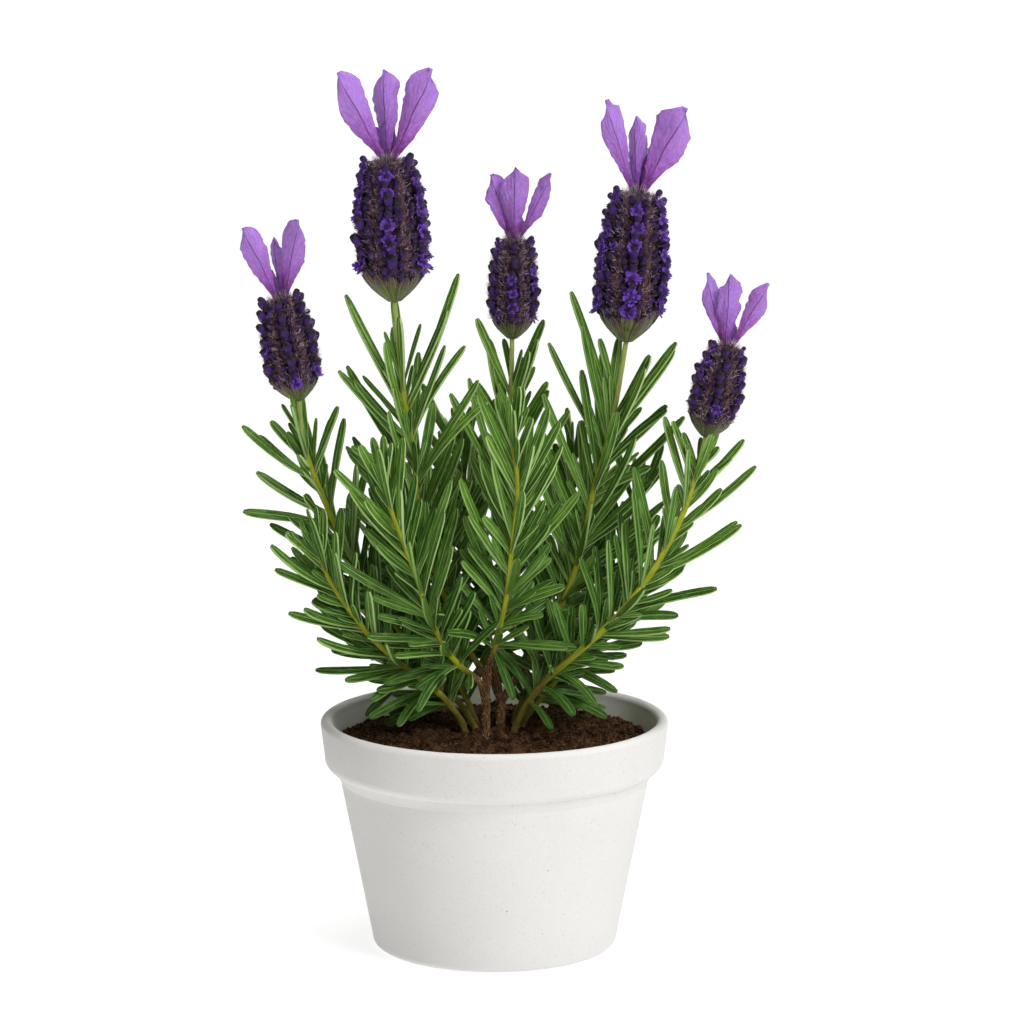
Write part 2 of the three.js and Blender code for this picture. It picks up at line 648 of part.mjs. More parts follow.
// A waved upright bract, folded along its middle, thickened alike on both faces.
function bract([right, back, face, length, width]) {
  const tilt = vec(Math.tan(rad(right)), Math.tan(rad(back)), 1).normalize();
  const root = vec(tilt.x, tilt.y, 0).setLength(BRACT_START[0]).setZ(BRACT_START[1]);
  const rows = BRACT_ROWS.map(([u, share], row) => {
    const along = UP.clone().lerp(tilt, BRACT_ARCH[0] - BRACT_ARCH[1] * u).normalize();
    const centre = root.clone().addScaledVector(along, length * u);
    const level = vec(along.z, 0, -along.x).normalize().applyAxisAngle(along, -rad(face));
    const normal = vec().crossVectors(along, level);
    const half = width * share * 0.5;
    const wave = half * BRACT_WAVE * (row % 2 ? 1 : -1) * u;
    const fold = half * BRACT_FOLD;
    const line = [[-half, fold + wave], [0, -fold], [half, fold - wave]];
    return [-BRACT_HALF_THICK, BRACT_HALF_THICK].map((thick) => line.map(([x, y]) => centre.clone()
      .addScaledVector(level, x).addScaledVector(normal, y + thick)));
  });
  return sheetSolid(rows.map((row) => row[0]), rows.map((row) => row[1]));
}

// Closes two grids of points, split alike, into one thin body.
function sheetSolid(outer, inner) {
  const [rows, columns] = [outer.length, outer[0].length];
  const count = rows * columns;
  const faces = [];
  const quad = (a, b, c, d) => faces.push([a, b, c], [a, c, d]);
  for (let r = 0; r < rows - 1; r++) {
    for (let c = 0; c < columns - 1; c++) {
      const a = r * columns + c;
      const [b, d] = [a + 1, a + columns];
      faces.push([a, b, d], [b, d + 1, d]);
      faces.push([count + a, count + d, count + b], [count + b, count + d, count + d + 1]);
    }
    const [left, right] = [r * columns, r * columns + columns - 1];
    quad(left, left + columns, count + left + columns, count + left);
    quad(right, count + right, count + right + columns, right + columns);
  }
  for (let c = 0; c < columns - 1; c++) {
    const top = (rows - 1) * columns + c;
    quad(c, count + c, count + c + 1, c + 1);
    quad(top, top + 1, count + top + 1, count + top);
  }
  return geometryOf([...outer.flat(), ...inner.flat()], faces);
}

function tuftSolid(bracts, width) {
  const [foot, top] = NECK_RADIUS.map((radius, k) => ringAt(6, width * radius, width * NECK_HEIGHT * k));
  return fuse([loft([foot, top]), ...bracts.map(bract)]);
}

function makeHead(name, curve) {
  const head = HEADS[name];
  const lean = vec(...head.lean);
  const height = lean.length();
  const group = new THREE.Group();
  group.quaternion.setFromUnitVectors(UP, lean.clone().normalize());
  group.position.copy(curve.getPoint(1)).addScaledVector(lean.normalize(), GAP);
  const tuft = meshOf(`tuft_${name}`, tuftSolid(head.tuft, head.width), COLOURS.bract, 0.6);
  tuft.position.z = height + GAP;
  group.add(
    meshOf(`cup_${name}`, solid(cupGeometry(height, head.width)), COLOURS.cup),
    meshOf(`spike_${name}`, solid(spikeGeometry(height, head.width, head.whorls)), COLOURS.spike),
    tuft,
  );
  return group;
}

// ---- the whole plant ------------------------------------------------------------

const curves = {};
for (const [name, shoot] of Object.entries(SHOOTS)) curves[name] = curveOf(shoot.route);
const plant = new THREE.Group();
blockStemsAndHeads(curves);
plant.add(makePot(), makeSoil(curves));
for (const side of Object.keys(TRUNKS)) plant.add(makeTrunk(side, curves));
plant.add(...Object.values(makeShoots(curves)));
for (const name of Object.keys(HEADS)) plant.add(makeHead(name, curves[name]));

export default plant;
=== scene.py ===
import bmesh
import bpy
import math
import random
from mathutils import Matrix, Quaternion, Vector, noise
from mathutils.kdtree import KDTree
from math import cos, pi, radians, sin


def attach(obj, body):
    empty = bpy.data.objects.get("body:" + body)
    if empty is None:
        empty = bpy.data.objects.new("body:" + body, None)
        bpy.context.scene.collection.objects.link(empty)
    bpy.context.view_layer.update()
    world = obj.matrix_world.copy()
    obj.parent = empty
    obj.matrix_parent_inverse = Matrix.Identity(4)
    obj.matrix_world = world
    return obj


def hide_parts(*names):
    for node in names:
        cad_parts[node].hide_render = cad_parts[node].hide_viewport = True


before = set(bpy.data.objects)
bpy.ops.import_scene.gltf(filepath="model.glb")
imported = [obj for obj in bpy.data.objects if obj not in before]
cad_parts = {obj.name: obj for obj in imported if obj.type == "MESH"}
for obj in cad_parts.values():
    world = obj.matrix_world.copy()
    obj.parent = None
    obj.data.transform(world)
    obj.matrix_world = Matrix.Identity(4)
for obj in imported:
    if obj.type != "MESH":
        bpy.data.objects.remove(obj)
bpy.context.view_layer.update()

MM = 0.001
UP = Vector((0, 0, 1))
GAP = 0.3                       # between pieces that touch
GOLDEN = 137.5                  # degrees from each leaf or lobe to the next round a tip

# ---- camera, light and floor --------------------------------------------------

CAMERA_PLACE = (5.55, -1268, 356.99)
CAMERA_PITCH = 9.76             # degrees below the level
CAMERA_LENS = 144.14
CAMERA_SENSOR = 36
CAMERA_CLIP = (0.05, 30)        # metres
WORLD_LEFT = (0.03, 0.01, 0, 1)  # light from either side
WORLD_RIGHT = (0.56, 0.56, 0.56, 1)
LAMPS = {"key": ((0.9, -1.1, 1.2), 0.6, 16), "top": ((0, 0.1, 1.7), 0.8, 14)}  # place, size, power
LAMP_AIM = (0, 0, 0.12)
STUDIO_REACH = 9                # metres to the floor's edge, and to the backdrop
BACKDROP_FOOT = -1
BACKDROP_SIDES = 64
FLOOR_GLOW = (0.4, 4, 0.8, 1)   # from near to far in metres, and the glow at either

# ---- sizes of the pot and the soil, as on the solids -----------------------------

POT_HEIGHT = 73.3
POT_RIM_RADIUS = 55
POT_FOOT_RADIUS = 38.8
POT_FOOT_ROUND = 2.6
POT_FOOT_RING = 4               # width of the flat that it stands on
POT_RECESS = 0.8
POT_SHOULDER = (48.7, 53.2)
POT_FILLET = 0.4                # hollow corner between the body and the collar
POT_COLLAR_ROUND = 3.8
POT_COLLAR_LOW = (53.7, 60.8)
POT_MOUTH_RADIUS = 51.2
POT_MOUTH_DROP = 1.2            # from the rim down to where the wall is straight
POT_FLOOR_RADIUS = 35
POT_FLOOR = 5
POT_SIDES = 160
POT_SHARP = 35                  # degrees between faces that count as an edge
DRAIN_HOLES = 3
DRAIN_RADIUS = 3.5
DRAIN_CIRCLE = 18

SOIL_EDGE = 66
SOIL_MOUND = 2
SOIL_LUMP = 0.7
SOIL_RINGS = 90
SOIL_SIDES = 300
CRUMBS = 3600
CRUMB_RADIUS = (0.2, 0.75)      # the least, and what the largest add
CRUMB_SEED = 4
CRUMB_REACH = 1.4               # from the wall
CLOD_PLACE = (7, -27)
CLOD_RADIUS = 2.1

# ---- the plan of the plant: the same rule as the solids' -------------------------

LEAF_WIDTH = 3.7
LEAF_RIDGE = 0.62
LEAF_BEAT = (1, 0.8, 0.72, 0.86)
LEAF_FACING = 1.3
LEAF_LIFT = (-0.1, 0.42)
LIFT_SHARE = 0.4
FOOT_LEAF = 0.78
CROWN_LEAF = 0.72
LEAF_SPREAD = {"at": 0.006, "turn": 16, "splay": 8, "lift": 0.14, "length": 0.1, "width": 0.1, "roll": 14}
EASED = {"length": (1, 0.86, 0.72, 0.58), "splay": (0, -9, 9, -18), "turn": (0, 14, -14, 28, -28, 42, -42)}
TRUNK_RADIUS = 1.4
BRANCH_RADIUS = 1.15
TRUNK_FOOT = 1.25

# A shoot's route, its leafy stretch and the rest are those of its solid.
SHOOTS = {
    "tall_left": {
        "trunk": "left", "route": ((-4.6, -0.5, 89), (-10.9, 1, 100), (-18.4, 1, 119), (-23.7, 1, 137.4),
            (-25.1, 0.5, 155.7), (-27.6, 0, 172), (-29.4, 0, 188), (-30.9, 0, 204.9)),
        "radius": (1.15, 0.95), "leafy": (0.07, 0.76), "pairs": 14, "longest": 37.2, "crown": 0.87,
        "splay": (70, 30), "turn": -4, "seed": 655,
    },
    "tall_right": {
        "trunk": "right", "route": ((8.6, 6, 87), (16, 6.5, 98), (23.3, 7, 113), (27.9, 7, 128),
            (31, 7, 143.5), (35, 7, 158), (38.4, 7, 174), (41.2, 7, 191.4)),
        "radius": (1.15, 0.95), "leafy": (0.06, 0.78), "pairs": 14, "longest": 38.2, "crown": 0.9,
        "splay": (70, 30), "turn": 13, "seed": 888,
    },
    "middle": {
        "trunk": "right", "route": ((0.8, 8, 90), (1.7, 10, 104), (2.7, 12, 122), (3.9, 13.5, 141),
            (4.8, 14, 159), (5.2, 14, 175), (5.6, 14, 191.5)),
        "radius": (1.1, 0.9), "leafy": (0.12, 0.82), "pairs": 9, "longest": 31.4, "crown": 0.82,
        "splay": (64, 28), "turn": 22, "seed": 921,
    },
    "far_left": {
        "route": ((-5, 6, 58), (-6.6, 6, 69), (-17.3, 6.5, 84), (-29.5, 7, 98.5), (-39.6, 6.5, 113),
            (-47.6, 6, 128), (-54.5, 5, 144), (-60, 4, 160), (-61.1, 3, 173.4)),
        "radius": (1.3, 0.95), "leafy": (0.27, 0.88), "pairs": 13, "longest": 30.4, "crown": 0.78,
        "splay": (74, 32), "turn": 0, "seed": 449,
    },
    "far_right": {
        "route": ((4.8, 0.4, 58), (6.6, -0.4, 70), (14.6, -3.4, 84), (27, -7, 96), (38.6, -9, 107.5),
            (49.6, -9.5, 122), (58, -9, 138), (62.6, -8.4, 151), (65.7, -8, 163.6)),
        "radius": (1.35, 0.95), "leafy": (0.22, 0.9), "pairs": 15, "longest": 28.4, "crown": 0.78,
        "splay": (70, 34), "turn": -14, "seed": 561,
    },
    "low_left": {
        "route": ((-8, 1, 58), (-9.8, 0.2, 70), (-16.1, -3, 80), (-24.4, -7, 88), (-33, -10.5, 95.4),
            (-42, -14, 106), (-50.4, -17, 119), (-54, -18.5, 128)),
        "radius": (1.3, 0.8), "leafy": (0.24, 0.97), "pairs": 11, "longest": 28.4,
        "splay": (76, 28), "turn": 16, "seed": 243,
    },
    "front_left": {
        "trunk": "left",
        "route": ((-6.8, -8.6, 88), (-12.3, -11.4, 93.6), (-16.6, -14, 100.5), (-20.8, -17, 110.5),
            (-25, -20, 124.5), (-30, -22, 138), (-33.4, -23, 149)),
        "radius": (1.1, 0.75), "leafy": (0.1, 0.98), "pairs": 11, "longest": 29.4,
        "splay": (76, 20), "turn": 11, "seed": 682,
    },
    "front": {
        "trunk": "left", "route": ((-0.6, -8, 95), (1.6, -11, 104), (3.7, -14.5, 114), (5, -17.5, 126),
            (6.4, -20, 139), (7.2, -22, 152), (5.8, -23, 163)),
        "radius": (1.1, 0.75), "leafy": (0.04, 0.98), "pairs": 11, "longest": 31.4,
        "splay": (78, 18), "turn": 4, "seed": 384,
    },
    "back": {
        "trunk": "right", "route": ((-1.6, 13.5, 88), (-3.4, 20, 101), (-6, 26, 117), (-8.5, 30, 134),
            (-10.5, 32.5, 152)),
        "radius": (1.1, 0.75), "leafy": (0.14, 0.98), "pairs": 9, "longest": 30.4,
        "splay": (68, 22), "turn": 26, "faces": 1, "seed": 611,
    },
    "back_right": {
        "trunk": "right",
        "route": ((8, 12.6, 86), (14, 19, 98), (19.5, 24.5, 113), (23, 28, 130), (25, 30, 149)),
        "radius": (1.1, 0.75), "leafy": (0.12, 0.98), "pairs": 8, "longest": 29.4,
        "splay": (68, 22), "turn": 28, "faces": 1, "seed": 777,
    },
    "back_left": {
        "route": ((-4.6, 11, 58), (-6.4, 12.4, 70), (-13.5, 17.5, 84), (-21, 22.5, 99), (-27.4, 26, 115),
            (-32, 28, 134)),
        "radius": (1.25, 0.75), "leafy": (0.28, 0.98), "pairs": 8, "longest": 29.4,
        "splay": (68, 24), "turn": -28, "faces": 1, "seed": 956,
    },
    "right": {
        "route": ((6.6, 8, 58), (9.6, 9, 70), (21, 13.5, 84), (32.5, 17.5, 99), (41, 19.5, 117),
            (45, 20, 138)),
        "radius": (1.25, 0.75), "leafy": (0.28, 0.98), "pairs": 9, "longest": 29.4,
        "splay": (70, 24), "turn": 8, "seed": 691,
    },
    "low_back_left": {
        "route": ((-9.2, 9, 58), (-11.4, 11, 70), (-20.5, 18.5, 79.5), (-30.5, 25, 89), (-38, 30, 103)),
        "radius": (1.2, 0.75), "leafy": (0.34, 0.97), "pairs": 5, "longest": 25.5,
        "splay": (66, 26), "turn": 13, "faces": 1, "seed": 723,
    },
    "low_back_right": {
        "route": ((4.4, 13.4, 58), (6.6, 16, 70), (13, 25.5, 79.5), (19.5, 34, 90), (24, 40, 104)),
        "radius": (1.2, 0.75), "leafy": (0.34, 0.97), "pairs": 5, "longest": 25.5,
        "splay": (66, 26), "turn": -16, "faces": 1, "seed": 224,
    },
}

TRUNKS = {
    "left": ((-2.6, -3.4, 58), (-2.9, -3.4, 70), (-2.6, -3.8, 80)),
    "right": ((1.8, 4.4, 58), (1.9, 4.8, 70), (2.2, 6.4, 78)),
}

# Tuft flags: tilt to the right, tilt to the back, turn of the face, length and width.
HEADS = {
    "tall_left": {
        "lean": (-2, 0, 44.6), "width": 24.6, "whorls": 6,
        "tuft": ((-22, -4, -16, 29.4, 10.8), (0, 8, 24, 26.6, 9.2), (24, -3, 14, 29.6, 11),
            (-4, 26, 66, 19, 7)),
    },
    "tall_right": {
        "lean": (3.6, 0, 47.4), "width": 24.4, "whorls": 6,
        "tuft": ((-20, -3, -18, 29, 7.6), (-4, 9, 30, 22.4, 7), (19, -4, 8, 28.6, 13.4),
            (4, 27, -58, 18, 7.4)),
    },
    "middle": {
        "lean": (0.6, 0, 31.8), "width": 16.6, "whorls": 5,
        "tuft": ((-15, 5, -20, 20, 8), (0, -5, 12, 21.8, 9.2), (24, 2, 24, 22, 6.2), (-3, 25, 62, 15, 6.2)),
    },
    "far_left": {
        "lean": (-5.4, 0, 32.6), "width": 18.6, "whorls": 5,
        "tuft": ((-13, -4, -14, 23.6, 8.4), (17, -2, 16, 23.8, 8.6), (2, 14, 52, 18, 6.4),
            (5, 29, -64, 15, 6)),
    },
    "far_right": {
        "lean": (6.7, 0, 28.8), "width": 16.4, "whorls": 5,
        "tuft": ((-25, 2, -18, 22, 5.8), (-8, -6, 6, 21.5, 7.6), (15, 3, 20, 21.6, 6.6), (-4, 26, 60, 15, 6)),
    },
}

# Long leaves that the solids leave out: place on the shoot, tip and lift.
LONG_LEAVES = {
    "tall_left": ((0.7, (-11, -3, 214.5), 0.1), (0.62, (-9, -4, 192), 0), (0.55, (-48.5, -2, 184), 0.3),
                  (0.66, (-45, -3, 205), 0.3), (0.5, (-2, -6, 175), -0.2), (0.46, (-44.5, -5, 160.5), -0.1)),
    "tall_right": ((0.8, (24, 5, 208), 0.35), (0.7, (17, 4, 192), 0.35), (0.74, (57, 5, 192), 0.1),
                   (0.64, (54, 3, 171), 0), (0.83, (33, 6, 193), 0.2), (0.56, (49, 2, 153), -0.1)),
    "middle": ((0.68, (-2, 12, 192), 0.3), (0.72, (13.5, 12, 192), 0.1), (0.52, (-8, 10, 180), 0.3),
               (0.55, (17, 11, 176), 0.1), (0.03, (-15, 6, 97), 0.3), (0.05, (17, 9, 98), 0.3),
               (0.02, (13, 3, 88), 0.1)),
    "far_left": ((0.78, (-79, 2, 166), 0.3), (0.66, (-79, 1, 139), 0.4), (0.8, (-49, 3, 172), 0.2),
                 (0.82, (-70, 2, 167.5), 0.2), (0.7, (-74, 3, 151), 0.3)),
    "far_right": ((0.72, (81.5, -9, 155), 0.2), (0.6, (77, -12, 137), 0.3), (0.82, (74, -9, 158), 0.1),
                  (0.84, (55.5, -8, 169), 0.2), (0.5, (69.5, -13, 117), 0.2),
                  (0.25, (25, -16, 77), -0.2), (0.3, (32, -17, 80.5), -0.1), (0.2, (17.8, -19, 73.5), -0.2)),
    "low_left": ((0.8, (-68, -18, 124), 0.3), (0.68, (-64, -17, 110), 0.3), (0.5, (-56, -13, 91), 0.2),
                 (0.33, (-30, -20, 74.5), -0.1), (0.4, (-38.5, -17, 82), 0)),
    "front": ((0.02, (6.1, -20, 83), -0.3),),
    "back": ((0.02, (-17, 17, 89), 0.2), (0.05, (13, 21, 94), 0.3), (0.1, (-12, 14, 104), 0.3),
             (0.16, (9, 15, 108), 0.2), (0.01, (-9, 20, 78), 0)),
    "back_right": ((0.04, (-9, 17, 91), 0.2), (0.03, (26, 15, 89), 0.2), (0.12, (0, 12, 103), 0.2),
                   (0.01, (16, 20, 78), 0)),
    "front_left": ((0.12, (-24, -24, 80), -0.2), (0.02, (-7.7, -20, 86.4), -0.3)),
}

RANKS = 6
SPIKE_SHARE = (0.26, 0.93)
SHOOTS = {name: {"trunk": None, "crown": CROWN_LEAF, "faces": -1, **plan} for name, plan in SHOOTS.items()}


# ---- small tools -----------------------------------------------------------------

def mix(a, b, share):
    return a + (b - a) * share


def smooth(low, high, value):
    share = min(max((value - low) / (high - low), 0), 1)
    return share * share * (3 - 2 * share)


def through(stops, place):
    """A value that runs evenly from stop to stop."""
    for (a, low), (b, high) in zip(stops, stops[1:]):
        if place <= b:
            return mix(low, high, (place - a) / (b - a))
    return stops[-1][1]


def drawer(seed):
    """A seeded draw between 0 and 1, the solids' own."""
    state = seed * 7919 + 17

    def draw():
        nonlocal state
        state = (state * 16807) % 2147483647
        return state / 2147483647
    return draw


def colour(shade):
    """A shade that is given as it looks on the screen, 0 to 255. A node's output stays as it is."""
    if not isinstance(shade, tuple):
        return shade
    return tuple(((c / 255 + 0.055) / 1.055) ** 2.4 if c > 10 else c / 3294.6 for c in shade) + (1,)


def circle(radius, z, sides):
    """Points round the pot's axis, or the one on it."""
    return [Vector((radius * cos(2 * pi * k / sides), radius * sin(2 * pi * k / sides), z))
            for k in range(sides if radius else 1)]


def turned(angle, radius, z=0):
    """A point round a head's axis, from its front on."""
    return Vector((radius * sin(angle), -radius * cos(angle), z))


def across(direction):
    """Axes across a direction: the first lies level, the second rises."""
    level = Vector((direction.z, 0, -direction.x)).normalized()
    return level, direction.cross(level)


class Route:
    """A smooth curve through a row of points."""

    def __init__(self, points):
        self.points = [Vector(point) for point in points]

    def at(self, share):
        points = self.points
        last = len(points) - 1
        low = min(int(share * last), last - 1)
        t = share * last - low
        a, b = points[low], points[low + 1]
        before = points[low - 1] if low > 0 else a * 2 - b
        after = points[low + 2] if low + 2 <= last else b * 2 - a
        start, end = (b - before) * 0.5, (after - a) * 0.5
        return (a + start * t + (b * 3 - a * 3 - start * 2 - end) * t ** 2
                + (a * 2 - b * 2 + start + end) * t ** 3)

    def along(self, share):
        return (self.at(min(share + 1e-4, 1)) - self.at(max(share - 1e-4, 0))).normalized()


class Skin:
    """Points and faces of one piece, with marks on its points that its material reads."""

    def __init__(self, **marks):
        self.points, self.faces = [], []
        self.marks = {name: [] for name in marks}
        self.plain = marks

    def point(self, place, **marks):
        self.points.append(place)
        for name, values in self.marks.items():
            values.append(marks.get(name, self.plain[name]))
        return len(self.points) - 1

    def loft(self, rings):
        """Closed skin over rings of point numbers. A ring of one number makes a tip."""
        for low, high in zip(rings, rings[1:]):
            count = max(len(low), len(high))
            for k in range(count):
                n = (k + 1) % count
                if len(high) == 1:
                    self.faces.append((low[k], low[n], high[0]))
                elif len(low) == 1:
                    self.faces.append((low[0], high[n], high[k]))
                else:
                    self.faces.append((low[k], low[n], high[n], high[k]))
        for ring in (rings[0][::-1], rings[-1]):
            if len(ring) > 2:
                self.faces.append(tuple(ring))

    def sheet(self, rows, thick, marks):
        """A thin closed sheet over a grid of points, thickened along its own normals."""
        count, width = len(rows), len(rows[0])
        faces = [[], []]
        for r, row in enumerate(rows):
            for c, place in enumerate(row):
                u = rows[min(r + 1, count - 1)][c] - rows[max(r - 1, 0)][c]
                v = row[min(c + 1, width - 1)] - row[max(c - 1, 0)]
                normal = v.cross(u).normalized() * thick * 0.5
                for side, sign in ((0, 1), (1, -1)):
                    faces[side].append(self.point(place + normal * sign, **marks(r, c)))
        upper, lower = faces
        for r in range(count - 1):
            for c in range(width - 1):
                a = r * width + c
                b, d, e = a + 1, a + width, a + width + 1
                self.faces.append((upper[a], upper[b], upper[e], upper[d]))
                self.faces.append((lower[a], lower[d], lower[e], lower[b]))
        edge = list(range(width))
        edge += [r * width + width - 1 for r in range(1, count)]
        edge += [(count - 1) * width + c for c in range(width - 2, -1, -1)]
        edge += [r * width for r in range(count - 2, 0, -1)]
        for a, b in zip(edge, edge[1:] + edge[:1]):
            self.faces.append((upper[b], upper[a], lower[a], lower[b]))

    def needle(self, foot, way, length, radius, tone):
        """A fine closed hair with three sides."""
        tip = foot + way.normalized() * length
        direction = tip - foot
        level = direction.orthogonal().normalized()
        turn = Quaternion(direction, 2 * pi / 3)
        ring = []
        for _ in range(3):
            ring.append(self.point(foot + level * radius, tone=tone))
            level = turn @ level
        self.loft([ring, [self.point(tip, tone=tone)]])

    def make(self, name, material, node, slot, is_smooth=True):
        """The finished piece: in metres, riding on the root, in place of a node."""
        mesh = bpy.data.meshes.new(name)
        mesh.from_pydata([point * MM for point in self.points], [], self.faces)
        for mark, values in self.marks.items():
            mesh.attributes.new(mark, "FLOAT", "POINT").data.foreach_set("value", values)
        mesh.polygons.foreach_set("use_smooth", [is_smooth] * len(mesh.polygons))
        mesh.materials.append(material)
        mesh.update()
        piece = show(name, mesh)
        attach(piece, "root")
        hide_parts(node)
        return piece


def show(name, data):
    """A new object in the scene."""
    piece = bpy.data.objects.new(name, data)
    bpy.context.scene.collection.objects.link(piece)
    return piece


# ---- materials ---------------------------------------------------------------------

class Paint:
    """One procedural material, built up by short calls for its nodes, coat over coat."""

    def __init__(self, name, shade=None, **constants):
        self.material = bpy.data.materials.new(name)
        self.material.use_nodes = True
        self.tree = self.material.node_tree
        self.shader = self.tree.nodes["Principled BSDF"]
        self.shade = shade
        for socket, value in constants.items():
            self.feed(self.shader, socket.replace("_", " "), value)

    def feed(self, node, socket, value):
        if isinstance(value, bpy.types.NodeSocket):
            self.tree.links.new(value, node.inputs[socket])
        elif value is not None:
            node.inputs[socket].default_value = value

    def node(self, kind, output, *inputs, **settings):
        """A new node with its settings and inputs, given as one of its outputs."""
        node = self.tree.nodes.new("ShaderNode" + kind)
        for name, value in settings.items():
            setattr(node, name, value)
        for socket, value in inputs:
            self.feed(node, socket, value)
        return node.outputs[output]

    def mark(self, name):
        return self.node("Attribute", "Fac", attribute_name=name)

    def marks(self, *names):
        return [self.mark(name) for name in names]

    def place(self):
        return self.node("TexCoord", "Object")

    def height(self):
        """Height over the floor, in metres."""
        return self.node("SeparateXYZ", "Z", (0, self.place()))

    def spread(self):
        """Distance from the pot's axis, in metres."""
        flat = self.node("VectorMath", "Vector", (0, self.place()), (1, (1, 1, 0)), operation="MULTIPLY")
        return self.node("VectorMath", "Value", (0, flat), operation="LENGTH")

    def vector(self, x, y, z):
        return self.node("CombineXYZ", 0, ("X", x), ("Y", y), ("Z", z))

    def noise(self, scale, detail, vector=None, roughness=0.5):
        return self.node("TexNoise", "Fac", ("Vector", vector or self.place()), ("Scale", scale),
                         ("Detail", detail), ("Roughness", roughness))

    def cells(self, scale):
        return self.node("TexVoronoi", "Distance", ("Vector", self.place()), ("Scale", scale))

    def math(self, operation, a, b=None):
        return self.node("Math", 0, (0, a), (1, b), operation=operation)

    def times(self, a, b):
        return self.math("MULTIPLY", a, b)

    def waves(self, value):
        """Even dark lines where the value passes each multiple of pi."""
        return self.math("ABSOLUTE", self.math("SINE", value))

    def step(self, value, low, high, start=0, end=1):
        """A smooth step from start to end while the value goes from low to high."""
        return self.node("MapRange", 0, ("Value", value), ("From Min", low), ("From Max", high),
                         ("To Min", start), ("To Max", end), interpolation_type="SMOOTHSTEP")

    def mix(self, share, a, b):
        return self.node("Mix", 2, (0, share), (6, colour(a)), (7, colour(b)), data_type="RGBA")

    def coat(self, shade, share):
        """Lays a shade over what is there."""
        self.shade = self.mix(share, self.shade, shade)

    def stain(self, shade, value, low, high, most=1):
        """Lays a shade over what is there, from none to the most while the value goes from low to high."""
        self.coat(shade, self.step(value, low, high, 0, most))

    def bump(self, height, depth):
        """Relief of the given real depth, in millimetres, over the relief that is there."""
        old = self.shader.inputs["Normal"].links
        self.feed(self.shader, "Normal", self.node(
            "Bump", 0, ("Height", height), ("Distance", depth * MM), ("Strength", 1),
            ("Normal", old[0].from_socket if old else None)))

    def done(self):
        self.feed(self.shader, "Base Color", self.shade)
        return self.material


def pot_paint():
    """Matt white stoneware with a dense sandy grain, tan and brown specks and pin holes, and painted light on
    the inner wall above the soil.
    """
    paint = Paint("white_stoneware", (221, 220, 217), Roughness=0.7, Specular_IOR_Level=0.35)
    grain, sand = paint.noise(2300, 3), paint.noise(1150, 3)
    # The inner wall above the soil, where painted light lightens the white.
    inside = paint.times(
        paint.step(paint.spread(), (POT_MOUTH_RADIUS + 0.5) * MM, (POT_MOUTH_RADIUS - 0.5) * MM),
        paint.step(paint.height(), (SOIL_EDGE - 8) * MM, (SOIL_EDGE - 4) * MM))
    specks = paint.times(paint.step(paint.cells(520), 0.16, 0.08), paint.step(paint.noise(130, 1), 0.5, 0.6))
    pits = paint.times(paint.step(paint.cells(190), 0.06, 0.02), paint.step(paint.noise(60, 1), 0.56, 0.6))
    paint.coat((230, 229, 227), paint.noise(38, 4))
    # Painted light: the inner wall is painted near pure white so that it looks brighter.
    paint.coat((254, 254, 252), inside)
    paint.stain((204, 198, 186), grain, 0.5, 0.72, 0.28)
    paint.stain((196, 184, 164), sand, 0.6, 0.74, 0.22)
    paint.coat((164, 146, 118), paint.times(specks, 0.35))
    paint.coat((120, 96, 70), paint.times(pits, 0.6))
    paint.feed(paint.shader, "Roughness", paint.step(grain, 0.3, 0.8, 0.62, 0.8))
    paint.bump(grain, 0.05)
    paint.bump(paint.noise(700, 3), 0.06)
    paint.bump(paint.times(pits, -1), 0.25)
    return paint.done()


def soil_paint():
    """Dark crumbly potting mix: fine brown grains, pale fibres and dark gaps, with painted shade in the bed's
    hollows and painted light on its lumps.
    """
    paint = Paint("soil", (46, 30, 16), Roughness=0.95, Specular_IOR_Level=0.15)
    fine, dust, tone = paint.noise(1500, 5, roughness=0.65), paint.noise(3400, 3), paint.mark("tone")
    paint.stain((90, 62, 38), paint.noise(170, 5), 0.35, 0.65)
    paint.stain((18, 10, 5), fine, 0.52, 0.42, 0.9)
    paint.stain((142, 102, 68), fine, 0.54, 0.64, 0.85)
    paint.stain((140, 104, 74), dust, 0.6, 0.7, 0.6)
    # On the bed the tone follows its height: painted light on the lumps, painted shade in the hollows. On the
    # crumbs it is drawn at random.
    paint.stain((104, 72, 46), tone, 0.35, 1, 0.6)
    paint.stain((30, 18, 9), tone, 0.4, 0, 0.6)
    paint.bump(fine, 0.6)
    paint.bump(dust, 0.2)
    return paint.done()


def wood_paint():
    """Fissured red-brown bark of an old lavender stem, with pale upright flecks."""
    paint = Paint("bark", (58, 40, 20), Roughness=0.85, Specular_IOR_Level=0.25)
    turn, height, tone = paint.marks("across", "along", "tone")
    streaks = paint.noise(1, 5, paint.vector(paint.times(turn, 2), paint.times(height, 2), tone), 0.65)
    flecks = paint.noise(1, 3, paint.vector(paint.times(turn, 3.4), paint.times(height, 4), 4))
    paint.stain((150, 112, 68), streaks, 0.36, 0.62)
    paint.stain((96, 66, 34), paint.noise(420, 3), 0.5, 0.75, 0.5)
    paint.stain((228, 192, 152), flecks, 0.56, 0.66, 0.85)
    paint.stain((34, 18, 10), flecks, 0.42, 0.34, 0.7)
    paint.bump(streaks, 0.6)
    paint.bump(flecks, 0.35)
    return paint.done()


